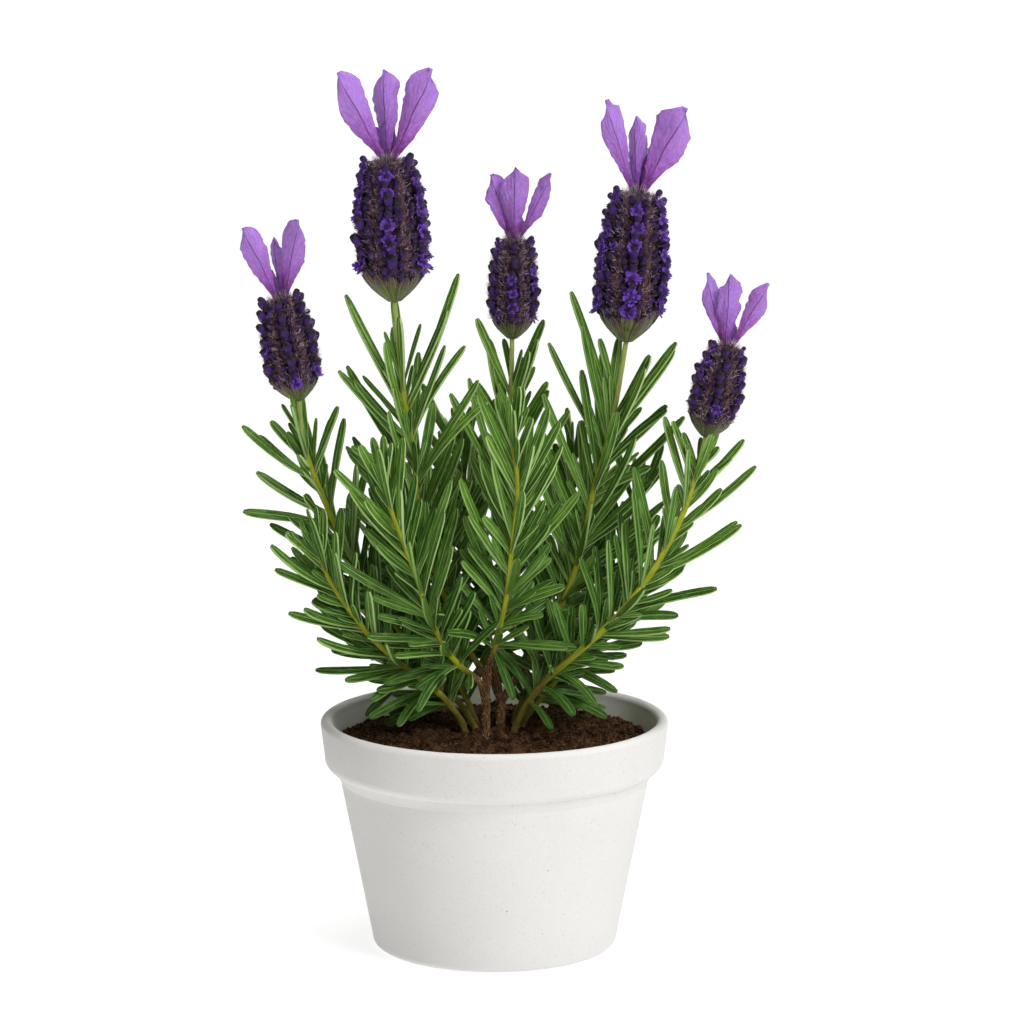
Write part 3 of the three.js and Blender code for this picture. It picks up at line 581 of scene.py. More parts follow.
def stem_paint():
    """Downy square stem: pale green under a flower, yellow-green in leaf, brown at its woody foot."""
    paint = Paint("stem", (54, 44, 16), Roughness=0.6, Specular_IOR_Level=0.2, Sheen_Weight=0.05,
                  Sheen_Roughness=0.5)
    turn, along, age = paint.marks("across", "along", "tone")
    lines = paint.noise(1, 4, paint.vector(paint.times(turn, 3), paint.times(along, 1.6), 0.5), 0.6)
    green = paint.mix(paint.step(age, 0.55, 0.8), (160, 168, 34), (160, 176, 98))
    paint.stain((150, 136, 52), lines, 0.4, 0.6)
    paint.stain(green, age, 0.1, 0.3)
    paint.stain((110, 124, 22), lines, 0.5, 0.7, 0.6)
    paint.stain((206, 204, 92), lines, 0.48, 0.36, 0.5)
    paint.bump(lines, 0.3)
    paint.bump(paint.noise(3000, 2), 0.05)
    return paint.done()


def leaf_paint():
    """Narrow leaf: green bands between a pale sunk midrib and pale rolled margins. The pale lines are partly
    the leaf's own colour and partly painted highlight.
    """
    paint = Paint("leaf", (46, 92, 14), Roughness=0.45, Specular_IOR_Level=0.25, Subsurface_Weight=0.08,
                  Subsurface_Scale=0.001)
    side, length, tone, under, share = paint.marks("across", "along", "tone", "under", "share")
    out = paint.math("ABSOLUTE", side)
    grain = paint.noise(1, 4, paint.vector(paint.times(side, 4.5), paint.times(length, 0.2),
                                           paint.times(tone, 90)), 0.6)
    line = paint.mix(tone, (140, 178, 96), (206, 230, 162))
    paint.coat((106, 156, 38), tone)
    paint.stain((30, 64, 8), grain, 0.5, 0.38, 0.75)
    paint.stain((140, 182, 72), grain, 0.54, 0.66, 0.6)
    paint.stain((36, 68, 14), out, 0.34, 0.12, 0.4)
    # Pale lines on the midrib and the margins: the leaf's own paler edges, and painted highlight along them.
    paint.stain(line, out, 0.11, 0.03, 0.8)
    paint.stain(line, out, 0.84, 0.96, 0.8)
    paint.coat((88, 120, 46), paint.times(under, 0.6))
    paint.stain((150, 158, 78), share, 0.16, 0, 0.55)
    paint.bump(grain, 0.3)
    paint.bump(paint.noise(2600, 2), 0.05)
    return paint.done()


def floret_paint():
    """Florets: maroon downy calyx that is near black at its foot as painted shade, dusky violet tube, near
    black hood, ragged violet lobes.
    """
    paint = Paint("floret", (20, 8, 18), Roughness=0.6, Specular_IOR_Level=0.25, Sheen_Weight=0.08,
                  Sheen_Roughness=0.4)
    kind, tone = paint.marks("along", "tone")
    fuzz = paint.noise(1700, 3)
    # Painted shade: the calyx is near black at its foot, deep among the bracts, and maroon further out.
    paint.stain((46, 22, 58), kind, 0.1, 0.45)
    paint.stain((94, 62, 106), fuzz, 0.5, 0.75, 0.45)
    paint.stain((62, 30, 104), kind, 0.5, 0.6)
    paint.stain((32, 15, 44), kind, 0.64, 0.84)
    paint.stain((86, 42, 152), kind, 0.87, 0.94)
    paint.stain((130, 84, 198), kind, 0.955, 1)
    paint.coat((50, 24, 84), paint.times(tone, paint.step(kind, 0.3, 0.65, 0.05, 0.5)))
    paint.bump(fuzz, 0.25)
    return paint.done()


def scale_paint():
    """Papery bracts between the florets: mauve-brown with dark veins and pale downy edges, and near black at
    their foot as painted shade where they tuck in among the florets.
    """
    paint = Paint("scale", (14, 6, 9), Roughness=0.75, Specular_IOR_Level=0.25, Sheen_Weight=0.1,
                  Sheen_Roughness=0.5)
    side, length, tone = paint.marks("across", "along", "tone")
    fuzz = paint.noise(1500, 3)
    # Painted shade: near black at the foot, mauve-brown towards the tip.
    paint.stain((96, 64, 72), length, 0.1, 0.85)
    paint.stain((50, 28, 40), paint.waves(paint.times(side, 9)), 0.35, 0, 0.6)
    edges = paint.times(paint.step(fuzz, 0.45, 0.7), paint.step(length, 0.25, 0.8, 0, 0.65))
    paint.coat((154, 118, 128), edges)
    paint.coat((62, 38, 66), paint.times(tone, 0.45))
    paint.bump(fuzz, 0.2)
    return paint.done()


def cup_paint():
    """Olive bracts under the spike, ribbed with pink and turning mauve at their tips."""
    paint = Paint("cup", (98, 130, 32), Roughness=0.55, Specular_IOR_Level=0.35, Sheen_Weight=0.08,
                  Sheen_Roughness=0.5)
    side, length, tone = paint.marks("across", "along", "tone")
    ribs = paint.waves(paint.times(side, 5.2))
    paint.stain((80, 92, 34), length, 0.05, 0.6)
    paint.stain((66, 38, 56), length, 0.45, 0.9)
    paint.stain((84, 52, 52), paint.math("ABSOLUTE", side), 0.55, 0.95, 0.5)
    paint.stain((182, 160, 128), ribs, 0.3, 0.05, 0.6)
    paint.stain((128, 108, 96), paint.noise(1300, 3), 0.48, 0.7, 0.5)
    paint.stain((72, 44, 46), paint.noise(420, 3), 0.5, 0.65, 0.5)
    paint.coat((66, 70, 32), paint.times(tone, 0.35))
    paint.bump(ribs, 0.25)
    return paint.done()


def bract_paint():
    """Thin lilac flags with a dark midvein and finer veins that branch from it."""
    paint = Paint("bract", (136, 62, 166), Roughness=0.5, Specular_IOR_Level=0.3, Subsurface_Weight=0.25,
                  Subsurface_Scale=0.002, Sheen_Weight=0.15, Sheen_Roughness=0.4)
    side, length, tone = paint.marks("across", "along", "tone")
    out = paint.math("ABSOLUTE", side)
    wander = paint.noise(3, 2, paint.vector(side, paint.times(length, 4), tone))
    slant = paint.math("ADD", paint.times(out, 10), paint.times(length, -17))
    lines = paint.waves(paint.math("ADD", slant, paint.times(wander, 7)))
    net = paint.noise(900, 4)
    vein = paint.step(out, paint.step(length, 0, 1, 0.11, 0.05), 0)
    paint.stain((160, 118, 206), length, 0.05, 0.7)
    paint.stain((184, 146, 226), net, 0.4, 0.7, 0.35)
    paint.stain((116, 66, 150), lines, 0.2, 0.02, 0.4)
    paint.stain((104, 40, 112), length, 0.3, 0, 0.6)
    paint.stain((96, 44, 124), tone, 0.99, 1.01, 0.7)
    paint.coat((70, 34, 90), paint.times(vein, paint.step(length, 1, 0.75, 0, 0.85)))
    paint.bump(paint.math("ADD", lines, paint.times(vein, -1)), 0.12)
    paint.bump(net, 0.05)
    return paint.done()


def down_paint():
    """Fine pale hairs."""
    paint = Paint("down", (118, 80, 92), Roughness=0.6, Specular_IOR_Level=0.3)
    tone = paint.mark("tone")
    paint.coat((244, 228, 232), tone)
    paint.stain((78, 48, 84), tone, 0.35, 0, 0.7)
    return paint.done()


PAINTS = {paint.__name__[:-6]: paint() for paint in (
    pot_paint, soil_paint, wood_paint, stem_paint, leaf_paint, floret_paint, scale_paint, cup_paint,
    bract_paint, down_paint)}


# ---- pot and soil ---------------------------------------------------------------------

def arc(centre, radius, start, end, steps):
    return [(centre[0] + radius * cos(radians(mix(start, end, k / steps))),
             centre[1] + radius * sin(radians(mix(start, end, k / steps)))) for k in range(steps + 1)]


def pot_profile():
    """Radius and height of the pot's outline, from under its floor over the rim to its inside."""
    lip, ring = (POT_RIM_RADIUS - POT_MOUTH_RADIUS) / 2, POT_FOOT_RADIUS - POT_FOOT_ROUND
    return [
        (0, POT_RECESS), (ring - POT_FOOT_RING - 1, POT_RECESS), (ring - POT_FOOT_RING, 0),
        *arc((ring, POT_FOOT_ROUND), POT_FOOT_ROUND, -90, -10, 8),
        *[(mix(POT_FOOT_RADIUS, POT_SHOULDER[0], s), mix(POT_FOOT_ROUND, POT_SHOULDER[1], s))
          for s in (0.02, 0.25, 0.5, 0.75, 0.98)],
        *arc((POT_SHOULDER[0] + POT_FILLET, POT_SHOULDER[1] + POT_FILLET), POT_FILLET, 168, 100, 5),
        *arc((POT_COLLAR_LOW[0] - POT_COLLAR_ROUND, POT_COLLAR_LOW[1]), POT_COLLAR_ROUND, -80, 0, 9),
        *arc((POT_MOUTH_RADIUS + lip, POT_HEIGHT - lip), lip, 5, 178, 14),
        *[(mix(POT_MOUTH_RADIUS, POT_FLOOR_RADIUS, s), mix(POT_HEIGHT - lip, POT_FLOOR, s))
          for s in (0.1, 0.5, 0.94)],
        (POT_FLOOR_RADIUS - 3, POT_FLOOR), (0, POT_FLOOR)]


def make_pot():
    skin = Skin()
    skin.loft([[skin.point(place) for place in circle(radius, z, POT_SIDES)] for radius, z in pot_profile()])
    pot = skin.make("pot_body", PAINTS["pot"], "pot", "pot")
    for place in circle(DRAIN_CIRCLE, POT_FLOOR / 2, DRAIN_HOLES):
        drill_through(pot, place)
    pot.data.set_sharp_from_angle(angle=radians(POT_SHARP))


def drill_through(piece, place):
    """Cuts one drain hole, and keeps the result as the piece's own mesh."""
    drill = show("drill", bpy.data.meshes.new("drill"))
    shape = bmesh.new()
    bmesh.ops.create_cone(shape, cap_ends=True, segments=32, radius1=DRAIN_RADIUS * MM,
                          radius2=DRAIN_RADIUS * MM, depth=3 * POT_FLOOR * MM,
                          matrix=Matrix.Translation(place * MM))
    shape.to_mesh(drill.data)
    shape.free()
    cut = piece.modifiers.new("cut", "BOOLEAN")
    cut.operation, cut.object, cut.solver = "DIFFERENCE", drill, "EXACT"
    graph = bpy.context.evaluated_depsgraph_get()
    mesh = bpy.data.meshes.new_from_object(piece.evaluated_get(graph))
    piece.modifiers.clear()
    piece.data = mesh
    bpy.data.objects.remove(drill)


def wall_radius(z):
    """The inside of the pot's wall, at a height over the ground."""
    share = (z - POT_FLOOR) / (POT_HEIGHT - POT_MOUTH_DROP - POT_FLOOR)
    return mix(POT_FLOOR_RADIUS, POT_MOUTH_RADIUS, share)


def soil_height(x, y):
    """The solids' lumpy surface, with crumbs of several sizes on it."""
    out = math.hypot(x, y) / POT_MOUTH_RADIUS
    broad = sin(x * 0.33 + 1.3) * cos(y * 0.29 - 0.6)
    fine = 0.6 * sin(x * 0.71 - y * 0.62 + 2.1)
    crumbs = noise.fractal(Vector((x * 0.7, y * 0.7, 3)), 0.6, 2.1, 5)
    clods = abs(noise.noise(Vector((x * 0.26, y * 0.26, 9))))
    lumps = SOIL_MOUND * (1 - out * out) + SOIL_LUMP * (broad + fine)
    return SOIL_EDGE + lumps + 0.5 * crumbs + 2.6 * clods - 0.7


def make_soil():
    skin = Skin(tone=0.4)
    foot, edge = POT_FLOOR + GAP, wall_radius(SOIL_EDGE - 2) - GAP
    rings = [[skin.point(place) for place in circle(radius, z, SOIL_SIDES)] for radius, z in (
        (wall_radius(foot) - GAP * 1.5, foot), (edge, SOIL_EDGE - 3), (edge, SOIL_EDGE - 1.5))]
    for number in range(SOIL_RINGS):
        ring = []
        for place in circle(edge * (1 - number / SOIL_RINGS), 0, SOIL_SIDES):
            place.z = soil_height(place.x, place.y)
            # The tone rises with the height: painted light on the lumps, painted shade in the hollows.
            ring.append(skin.point(place, tone=0.4 + 0.5 * (place.z - SOIL_EDGE - 1) / 4))
        rings.append(ring)
    rings.append([skin.point(Vector((0, 0, soil_height(0, 0))))])
    skin.loft(rings)
    skin.make("soil_bed", PAINTS["soil"], "soil", "soil")


def crumb(skin, centre, radius, draws, tone):
    """One irregular crumb."""
    shape = bmesh.new()
    bmesh.ops.create_icosphere(shape, subdivisions=1 if radius < 0.8 else 2, radius=radius)
    shift = Vector([draws.uniform(0, 99) for _ in range(3)])
    flat = Vector((draws.uniform(0.7, 1.3), draws.uniform(0.7, 1.3), draws.uniform(0.55, 1)))
    numbers = []
    for vertex in shape.verts:
        place = vertex.co * flat
        place *= 1 + 0.55 * noise.noise(place / radius * 0.9 + shift)
        numbers.append(skin.point(centre + place, tone=tone))
    skin.faces += [tuple(numbers[v.index] for v in face.verts) for face in shape.faces]
    shape.free()


def make_crumbs():
    """Loose crumbs over the bed, thickest against the wall, and one pale clod in front."""
    skin = Skin(tone=0.4)
    draws = random.Random(CRUMB_SEED)
    edge = wall_radius(SOIL_EDGE) - CRUMB_REACH
    for _ in range(CRUMBS):
        angle, share = draws.uniform(0, 2 * pi), draws.random()
        out = edge * (share ** 0.5 if draws.random() < 0.75 else 1 - 0.06 * share)
        x, y = out * cos(angle), out * sin(angle)
        radius = CRUMB_RADIUS[0] + CRUMB_RADIUS[1] * draws.random() ** 4
        centre = Vector((x, y, soil_height(x, y) + radius * draws.uniform(-0.1, 0.6)))
        crumb(skin, centre, radius, draws, draws.random() ** 1.4)
    crumb(skin, Vector((*CLOD_PLACE, soil_height(*CLOD_PLACE) + 0.5)), CLOD_RADIUS, draws, 1.6)
    skin.make("soil_crumbs", PAINTS["soil"], "soil", "soil", is_smooth=False)


# ---- stems and trunks -----------------------------------------------------------------

TUBE_MARKS = {"across": 0, "along": 0, "tone": 0.5}
STEM_SIDES, STEM_ROWS, STEM_ROUGH = 16, 120, 0.2
STEM_SQUARE = 0.07
STEM_SLIM = 0.88                # of the solids' radius
TRUNK_SIDES, TRUNK_ROWS, TRUNK_ROUGH = 16, 40, 0.4
BRANCH_SIDES, BRANCH_ROWS, BRANCH_ROUGH = 12, 26, 0.3
BRANCH_INTO = 0.6               # how far a branch reaches into its shoot
BRANCH_SUNK = 1.5               # how far it starts under its trunk's top


def tube(skin, route, radius_at, sides, rows, rough, square=0, tone_at=lambda share: 0.5, seed=0, tail=0.1):
    """A stem along a route, squared and roughened as asked, and lengthened by a short tail."""
    rings, length = [], sum((a - b).length for a, b in zip(route.points, route.points[1:]))
    for r in range(rows + 2):
        share = min(r / rows, 1)
        centre = route.at(share) + route.along(1) * tail * (r > rows)
        level, rise = across(route.along(share))
        ring = []
        for k in range(sides):
            angle = 2 * pi * k / sides
            size = radius_at(share) * (1 - square * cos(4 * angle))
            size *= 1 + rough * noise.noise(Vector((2.2 * cos(angle), 2.2 * sin(angle),
                                                    share * length * 0.25 + seed * 7)))
            place = centre + (level * cos(angle) + rise * sin(angle)) * size
            ring.append(skin.point(place, across=sin(angle) + 2 * cos(angle), along=share * length * 0.2,
                                   tone=tone_at(share)))
        rings.append(ring)
    skin.loft(rings)


def branch_route(trunk, shoot):
    """From inside a trunk's top to the foot of the shoot that it carries."""
    direction = shoot.along(0)
    end = shoot.at(0) + direction * BRANCH_INTO
    top = Vector(trunk[-1])
    knee = end - direction * 0.4 * (top - end).length
    return Route([top - UP * BRANCH_SUNK, knee, end])


def make_trunks(routes):
    for side, points in TRUNKS.items():
        skin = Skin(**TUBE_MARKS)
        tube(skin, Route(points), lambda s: TRUNK_RADIUS * mix(TRUNK_FOOT, 1, s), TRUNK_SIDES, TRUNK_ROWS,
             rough=TRUNK_ROUGH, seed=len(side))
        for number, name in enumerate(name for name in SHOOTS if SHOOTS[name]["trunk"] == side):
            tube(skin, branch_route(points, routes[name]),
                 lambda s: mix(BRANCH_RADIUS, SHOOTS[name]["radius"][0], s), BRANCH_SIDES, BRANCH_ROWS,
                 rough=BRANCH_ROUGH, seed=number)
        skin.make(f"bark_{side}", PAINTS["wood"], f"trunk_{side}", "wood")


def make_stem(name, route):
    shoot, flowering = SHOOTS[name], name in HEADS
    start = 0 if shoot["trunk"] else 0.2

    def age(share):
        """0 where it is woody, 0.5 in leaf and 0.9 right under a flower."""
        bare = 0.4 * flowering * smooth(shoot["leafy"][1] - 0.15, 1, share)
        return mix(0.1, 0.5, smooth(start, start + 0.3, share)) + bare

    skin = Skin(**TUBE_MARKS)
    tube(skin, route, lambda s: mix(*shoot["radius"], s) * STEM_SLIM, STEM_SIDES, STEM_ROWS,
         rough=STEM_ROUGH, square=STEM_SQUARE, tone_at=age, tail=0.7 if flowering else 0.1)
    skin.make(f"stem_{name}", PAINTS["stem"], f"shoot_{name}", "leaf")


# ---- leaves -----------------------------------------------------------------------------

LEAF_OUTLINE = ((0, 0.3), (0.12, 0.42), (0.3, 0.72), (0.5, 0.95), (0.68, 1), (0.86, 0.93), (0.94, 0.74),
                (0.985, 0.4))
LEAF_ROWS = (0, 0.06, 0.14, 0.24, 0.36, 0.48, 0.6, 0.72, 0.82, 0.89, 0.94, 0.97, 0.99)
# Points across a blade: out from the middle, and height over the middle line as shares
# of the half width and of the ridge.
LEAF_TOP = ((-1, -0.5), (-0.97, 0.2), (-0.85, 0.52), (-0.7, 0.2), (-0.4, 0.26), (-0.13, 0.3), (0, 0.72),
            (0.13, 0.3), (0.4, 0.26), (0.7, 0.2), (0.85, 0.52), (0.97, 0.2), (1, -0.5))
LEAF_UNDER = ((0.88, -0.95), (0.66, -0.8), (0.42, -0.35), (0.12, -0.55), (-0.12, -0.55), (-0.42, -0.35),
              (-0.66, -0.8), (-0.88, -0.95))
LEAF_SAMPLES = (0.3, 0.44, 0.58, 0.72, 0.86, 1)  # along a leaf, where room is kept round it
HEAD_SAMPLES = (0.25, 0.4, 0.55, 0.7, 0.85)
ROUTE_SAMPLES = 40
BETWEEN_CLEAR = 1.9
YOUNG_CLEAR = 0.8
WALL_CLEAR, GROUND_CLEAR = 2, 1.5
SHIFTS = (0, 20, -20, 40, -40)  # degrees that an added leaf may turn to find room
LEAF_SWAY = 0.07                # of its length, likewise its arch: the mean, and what varies
LEAF_ARCH = (0.05, 0.08)
LEAF_SLIM = 0.42                # half its width, a little slimmer than on the solids
BETWEEN_LENGTHS = (0.9, 0.75, 0.6)
BETWEEN_WIDTH = 3.4
TIP_LEAVES = 7
TIP_AT = 0.985
TIP_FOUND = 0.05                # how near to a leaf's tip the node has a point
LEAF_TONE = (0.52, 0.18)        # the mean, and the spread
PAINTED_SHADE_HEIGHTS = (150, 85)       # painted shade: leaves darken on the way down into the bush
PAINTED_SHADE_MOST = 0.4
SEEDS = {"long": 3000, "between": 5000, "young": 9000, "head": 77}  # added to each shoot's own


def habit(shoot, share):
    """Where a leaf stands on its shoot, how far it splays and how it lifts."""
    return (mix(*shoot["leafy"], share ** 0.92), mix(*shoot["splay"], share ** 0.5),
            mix(*LEAF_LIFT, min(share / LIFT_SHARE, 1)))


def length_share(shoot, share):
    return mix(FOOT_LEAF, 1, share * 2) if share < 0.5 else mix(1, shoot["crown"], share * 2 - 1)


def leaves_of(shoot):
    """The shoot's leaves in crossed pairs, lowest first, drawn as for the solids."""
    draw = drawer(shoot["seed"])
    spread = lambda name: (draw() - 0.5) * 2 * LEAF_SPREAD[name]
    for pair in range(shoot["pairs"]):
        share = pair / (shoot["pairs"] - 1)
        at, splay, lift = habit(shoot, share)
        length = shoot["longest"] * LEAF_BEAT[pair % 4] * length_share(shoot, share)
        for half in (0, 180):
            yield dict(at=at + spread("at"), turn=shoot["turn"] + pair * 90 + half + spread("turn"),
                       splay=splay + spread("splay"), lift=lift + spread("lift"),
                       length=length * (1 + spread("length")), width=LEAF_WIDTH * (1 + spread("width")),
                       roll=spread("roll"), faces=shoot["faces"])


def eased(leaf):
    """The changes that a leaf tries, mildest first."""
    for length in EASED["length"]:
        for splay in EASED["splay"]:
            for turn in EASED["turn"]:
                yield {**leaf, "turn": leaf["turn"] + turn, "splay": leaf["splay"] + splay,
                       "length": leaf["length"] * length}


def blade_frame(route, leaf):
    """A leaf's middle line and the frame across it, as on the solids."""
    foot, axis = route.at(leaf["at"]), route.along(leaf["at"])
    level, rise = across(axis)
    out = level * cos(radians(leaf["turn"])) + rise * sin(radians(leaf["turn"]))
    start = axis * cos(radians(leaf["splay"])) + out * sin(radians(leaf["splay"]))

    def at(u):
        centre = foot + start * leaf["length"] * u + UP * leaf["length"] * leaf["lift"] * u * u * 0.5
        along = (start + UP * leaf["lift"] * u).normalized()
        flat = along.cross(axis).normalized()
        outward = Vector((0, leaf["faces"], 0)) - along * leaf["faces"] * along.y
        top = (flat.cross(along) + outward * LEAF_FACING).normalized()
        side = Quaternion(along, radians(leaf["roll"])) @ along.cross(top)
        return centre, side, side.cross(along)
    return at


def solid_leaves(name, route):
    """The leaves that the node holds: those whose tip is one of its points."""
    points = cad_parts[f"shoot_{name}"].data.vertices
    tree = KDTree(len(points))
    for point in points:
        tree.insert(point.co / MM, point.index)
    tree.balance()
    for leaf in leaves_of(SHOOTS[name]):
        for tried in eased(leaf):
            if tree.find(blade_frame(route, tried)(1)[0])[2] < TIP_FOUND:
                yield tried
                break


def make_blade(skin, route, leaf, tone):
    """One grooved blade, swayed and arched a little its own way."""
    frame_at = blade_frame(route, leaf)
    rings = []
    sway = noise.noise(Vector((leaf["turn"], leaf["splay"], 5))) * leaf["length"] * LEAF_SWAY
    arch = LEAF_ARCH[0] + LEAF_ARCH[1] * noise.noise(Vector((leaf["splay"], leaf["turn"], 1)))
    rise = route.along(leaf["at"]) * (arch * leaf["length"])
    for u in LEAF_ROWS:
        centre, side, top = frame_at(u)
        share = through(LEAF_OUTLINE, u)
        half = leaf["width"] * LEAF_SLIM * share
        depth = LEAF_RIDGE * (0.55 + 0.45 * share) * min(leaf["width"] / LEAF_WIDTH, 1.15)
        centre = centre + (side * sway + rise) * sin(pi * u ** 0.8)
        rings.append([skin.point(centre + side * x * half + top * y * depth, across=x, under=under,
                                 along=u * leaf["length"], share=u, tone=tone)
                      for under, row in enumerate((LEAF_TOP, LEAF_UNDER)) for x, y in row])
    rings.append([skin.point(frame_at(1)[0], across=0.5, along=leaf["length"], share=1, tone=tone)])
    skin.loft(rings)


def aimed(route, at, tip, lift, draws):
    """A leaf that ends at a tip, put in the terms of the others."""
    away = Vector(tip) - route.at(at)
    length = away.length
    for _ in range(6):
        start = away - UP * length * lift * 0.5
        length = start.length
    level, rise = across(route.along(at))
    start /= length
    return dict(at=at, turn=math.degrees(math.atan2(start.dot(rise), start.dot(level))),
                splay=math.degrees(math.acos(start.dot(route.along(at)))), lift=lift, length=length,
                width=LEAF_WIDTH * draws.uniform(0.9, 1.05), roll=draws.uniform(-14, 14), faces=-1)


def samples(route, leaf):
    frame_at = blade_frame(route, leaf)
    return [frame_at(u)[0] for u in LEAF_SAMPLES]


def is_clear(points, taken, clear):
    """Whether the points are clear of the pot, of the soil and of all points that are taken."""
    for point in points:
        out = math.hypot(point.x, point.y)
        over_wall = out > wall_radius(POT_HEIGHT) - WALL_CLEAR
        floor = POT_HEIGHT if over_wall else SOIL_EDGE + SOIL_MOUND + SOIL_LUMP
        if point.z < floor + GROUND_CLEAR:
            return False
    return min(taken.find(point)[2] for point in points) > clear


def between_leaves(name, shoot):
    """Leaves that the solids leave out: pairs between the pairs, and young ones in the axils."""
    draws = random.Random(shoot["seed"] + SEEDS["between"])
    spread = lambda size: draws.uniform(-size, size)
    steps = shoot["pairs"] * 2
    for step in range(steps):
        share = (step + 0.5) / steps
        at, splay, lift = habit(shoot, share)
        main = shoot["longest"] * length_share(shoot, share)
        for half in (0, 90, 180, 270):
            if share > (0.5 if name in HEADS else 0.8) or sin(radians(step * 45 + half)) < -0.5:
                continue
            yield dict(at=at + spread(0.01), turn=step * 45 + half + spread(22), splay=splay + spread(10),
                       lift=lift + spread(0.16),
                       length=main * draws.choice(BETWEEN_LENGTHS) * (1 + spread(0.12)),
                       width=BETWEEN_WIDTH * (1 + spread(0.14)), roll=spread(18), faces=shoot["faces"])


def young_leaves(name, shoot):
    """Short upright leaves in the axils of each pair and round the tip of a shoot."""
    draws = random.Random(shoot["seed"] + SEEDS["young"])
    spread = lambda size: draws.uniform(-size, size)
    for pair in range(shoot["pairs"]):
        share = pair / (shoot["pairs"] - 1)
        for turn in (0, 180, 90, 270):
            turn += shoot["turn"] + pair * 90
            if draws.random() < (0.75 if sin(radians(turn)) < -0.4 else 0.25):
                continue
            yield dict(at=habit(shoot, share)[0] + draws.uniform(0.004, 0.016), turn=turn + spread(30),
                       splay=draws.uniform(14, 34) + 14 * (1 - share), lift=draws.uniform(0.05, 0.3),
                       length=shoot["longest"] * draws.uniform(0.28, 0.55), width=draws.uniform(1.9, 2.8),
                       roll=spread(20), faces=shoot["faces"])
    for k in range(0 if name in HEADS else TIP_LEAVES):
        yield dict(at=TIP_AT, turn=k * GOLDEN + spread(8), splay=draws.uniform(5, 24), lift=0.05,
                   length=shoot["longest"] * draws.uniform(0.3, 0.6), width=draws.uniform(1.8, 2.7),
                   roll=spread(20), faces=shoot["faces"])


def tree_of(points):
    tree = KDTree(len(points))
    for k, point in enumerate(points):
        tree.insert(point, k)
    tree.balance()
    return tree


def grow_leaves(routes):
    """Every shoot's leaves: the solids' own, the long ones, and those that find room between."""
    taken, grown = [], {}
    for name, route in routes.items():
        draws = random.Random(SHOOTS[name]["seed"] + SEEDS["long"])
        grown[name] = list(solid_leaves(name, route))
        grown[name] += [aimed(route, *plan, draws) for plan in LONG_LEAVES.get(name, ())]
        taken += [route.at(k / ROUTE_SAMPLES) for k in range(ROUTE_SAMPLES + 1)]
        for leaf in grown[name]:
            taken += samples(route, leaf)
        if name in HEADS:
            foot, lean = route.at(1), Vector(HEADS[name]["lean"])
            taken += [foot + lean * share + out for share in HEAD_SAMPLES
                      for out in circle(HEADS[name]["width"] * 0.5, 0, 8)]
    for make, clear in ((between_leaves, BETWEEN_CLEAR), (young_leaves, YOUNG_CLEAR)):
        for name, route in routes.items():
            for leaf in make(name, SHOOTS[name]):
                tree = tree_of(taken)
                for shift in SHIFTS:
                    tried = {**leaf, "turn": leaf["turn"] + shift}
                    points = samples(route, tried)
                    if is_clear(points, tree, clear):
                        grown[name].append(tried)
                        taken += points
                        break
    return grown


def make_leaves(name, route, leaves):
    skin = Skin(across=0, along=0, share=0, tone=0.5, under=0)
    draws = random.Random(SHOOTS[name]["seed"])
    for leaf in leaves:
        # Painted shade: the lower a leaf stands, the darker its tone.
        low = smooth(*PAINTED_SHADE_HEIGHTS, route.at(leaf["at"]).z)
        tone = min(max(draws.gauss(*LEAF_TONE) - PAINTED_SHADE_MOST * low, 0), 1)
        make_blade(skin, route, leaf, tone)
    skin.make(f"leaves_{name}", PAINTS["leaf"], f"shoot_{name}", "leaf")


# ---- flower heads: local frame, standing on the origin along +Z ------------------------

HEAD_SIDES = 36
CORE_ROWS = 14
FULL_WIDTH = 20                 # heads wider than this have more open florets
# Rings of a floret's parts: place along it, radius, and the mark that its paint reads.
CALYX = ((0, 0.3, 0), (0.2, 0.42, 0.1), (0.42, 0.47, 0.2), (0.58, 0.44, 0.3), (0.66, 0.34, 0.4))
BUD = ((0.5, 0.28, 0.6), (0.64, 0.42, 0.62), (0.8, 0.46, 0.72), (0.93, 0.34, 0.85))
CLOSED = ((0.35, 0.3, 0.6), (0.6, 0.44, 0.61), (0.84, 0.5, 0.64), (1, 0.46, 0.46), (1.14, 0.34, 0.05))
BULB_SIDES = 10
LOBES = 16
LOBE_OUTLINE = ((0, 0.4), (0.3, 0.62), (0.62, 0.74), (0.86, 0.64), (1, 0.34))
LOBE_COLUMNS = (-1, -0.5, 0, 0.5, 1)
LOBE_THICK = 0.14
SCALE_OUTLINE = ((0, 0.5), (0.25, 0.9), (0.5, 0.95), (0.75, 0.6), (1, 0.06))
SCALE_THICK = 0.18
CUP_OUTLINE = ((0, 0.055), (0.2, 0.15), (0.45, 0.25), (0.7, 0.322), (1, 0.36))
CUP_REACH = 0.2                 # of a head's height
CUP_BRACTS = 12
CUP_COLUMNS = (-1, -0.6, -0.25, 0, 0.25, 0.6, 1)
CUP_THICK = 0.22
